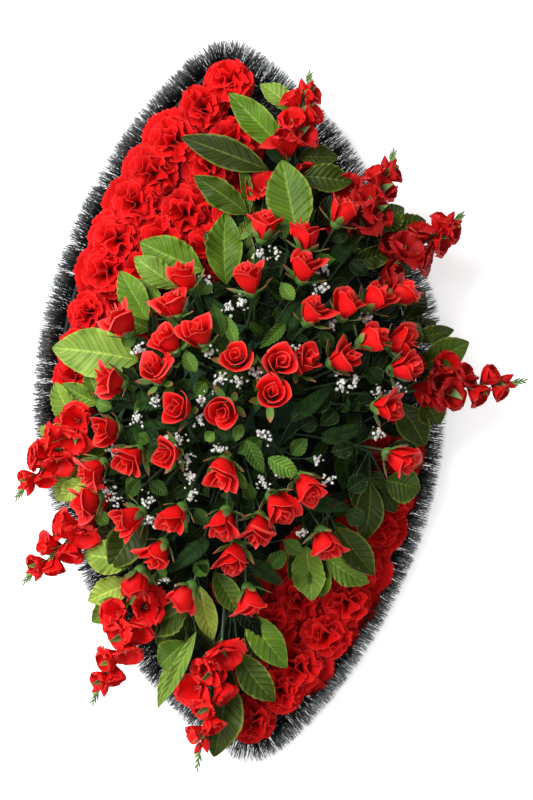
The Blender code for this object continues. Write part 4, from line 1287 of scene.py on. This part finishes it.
def finish_batch(node, kind, made):
    """A batch as one piece of the scene."""
    points = np.concatenate(made.points)
    tones = np.concatenate(made.tones)
    quads = np.concatenate(made.quads) if made.quads else np.zeros((0, 4), int)
    tris = np.concatenate(made.tris) if made.tris else np.zeros((0, 3), int)
    mesh = bpy.data.meshes.new(f"{node}_{kind}")
    mesh.vertices.add(len(points))
    mesh.vertices.foreach_set("co", points.astype(np.float32).ravel())
    mesh.loops.add(quads.size + tris.size)
    corners = np.concatenate([quads.ravel(), tris.ravel()])
    mesh.loops.foreach_set("vertex_index", corners.astype(np.int32))
    mesh.polygons.add(len(quads) + len(tris))
    starts = np.concatenate([np.arange(len(quads)) * 4, quads.size + np.arange(len(tris)) * 3])
    mesh.polygons.foreach_set("loop_start", starts.astype(np.int32))
    mesh.update(calc_edges=True)
    mesh.validate()
    mesh.shade_smooth()
    mesh.set_sharp_from_angle(angle=math.radians(50))
    tone = mesh.attributes.new("tone", "FLOAT_COLOR", "POINT")
    colours = np.column_stack([tones, np.ones(len(tones))])
    tone.data.foreach_set("color", colours.astype(np.float32).ravel())
    mesh.materials.append(MATERIALS[kind])
    piece = bpy.data.objects.new(f"{node}_{kind}", mesh)
    bpy.context.scene.collection.objects.link(piece)
    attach(piece, "root")
    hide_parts(node)


# Light, floor and camera

def aimed(made, target):
    made.rotation_mode = "QUATERNION"
    made.rotation_quaternion = (Vector(target) - made.location).to_track_quat("-Z", "Y")


def studio():
    """A pale floor that glows a little, a soft light from the upper left, a weak one from the lower left,
    and the photograph's camera."""
    mesh = bpy.data.meshes.new("floor")
    corners = [(x * FLOOR_HALF, y * FLOOR_HALF, 0) for x, y in ((-1, -1), (1, -1), (1, 1), (-1, 1))]
    mesh.from_pydata(corners, [], [(0, 1, 2, 3)])
    floor = bpy.data.objects.new("floor", mesh)
    floor.location.z = -FLOOR_DEPTH
    bpy.context.scene.collection.objects.link(floor)
    pale = bpy.data.materials.new("pale_floor")
    pale.use_nodes = True
    shader = pale.node_tree.nodes["Principled BSDF"]
    for socket, value in (
        ("Base Color", (0.97, 0.97, 0.97, 1)), ("Roughness", 0.9), ("Specular IOR Level", 0.1),
        ("Emission Color", (1, 1, 1, 1)), ("Emission Strength", FLOOR_GLOW),
    ):
        shader.inputs[socket].default_value = value
    mesh.materials.append(pale)

    world = bpy.data.worlds.new("studio")
    world.use_nodes = True
    world.node_tree.nodes["Background"].inputs[0].default_value = (1, 1, 1, 1)
    world.node_tree.nodes["Background"].inputs[1].default_value = SKY_LIGHT
    bpy.context.scene.world = world

    for name, (place, size, power) in LAMPS.items():
        light = bpy.data.lights.new(name, "AREA")
        light.shape = "DISK"
        light.size = size
        light.energy = power
        made = bpy.data.objects.new(name, light)
        made.location = place
        aimed(made, LAMP_TARGET)
        bpy.context.scene.collection.objects.link(made)

    lens = bpy.data.cameras.new("camera")
    lens.sensor_width = SENSOR
    lens.lens = SENSOR / 2 / (PHOTO_HEIGHT * PIXEL / 2 / EYE)
    camera = bpy.data.objects.new("camera", lens)
    camera.location = (*seen(*FRAME_MIDDLE, 0)[:2], EYE)
    camera.rotation_mode = "QUATERNION"
    camera.rotation_quaternion = Quaternion(UP, -LEAN)
    bpy.context.scene.collection.objects.link(camera)
    bpy.context.scene.camera = camera
    bpy.context.scene.view_settings.view_transform = "Standard"


for _ in range(BAND_DRAWS):
    rng.random()
make_garland()
make_carnations()
make_gladioli()
grown = make_roses()
make_leaf_sprays()
make_rose_leaves(grown)
make_dome_leaves(grown)
make_ferns(grown)
make_gypsophila(grown)

for (node, kind), made in batches.items():
    finish_batch(node, kind, made)

for name, material in {
    "back_board": plain_material(
        "board_plastic", (0.002, 0.003, 0.003), (0.005, 0.007, 0.007), 0.75, 60.0, specular=0.2),
    "foam_block": plain_material(
        "floral_foam", (0.012, 0.040, 0.018), (0.030, 0.080, 0.035), 0.95, 160.0, 0.0012),
}.items():
    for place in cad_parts[name].material_slots:
        place.material = material

studio()

bpy.context.view_layer.update()
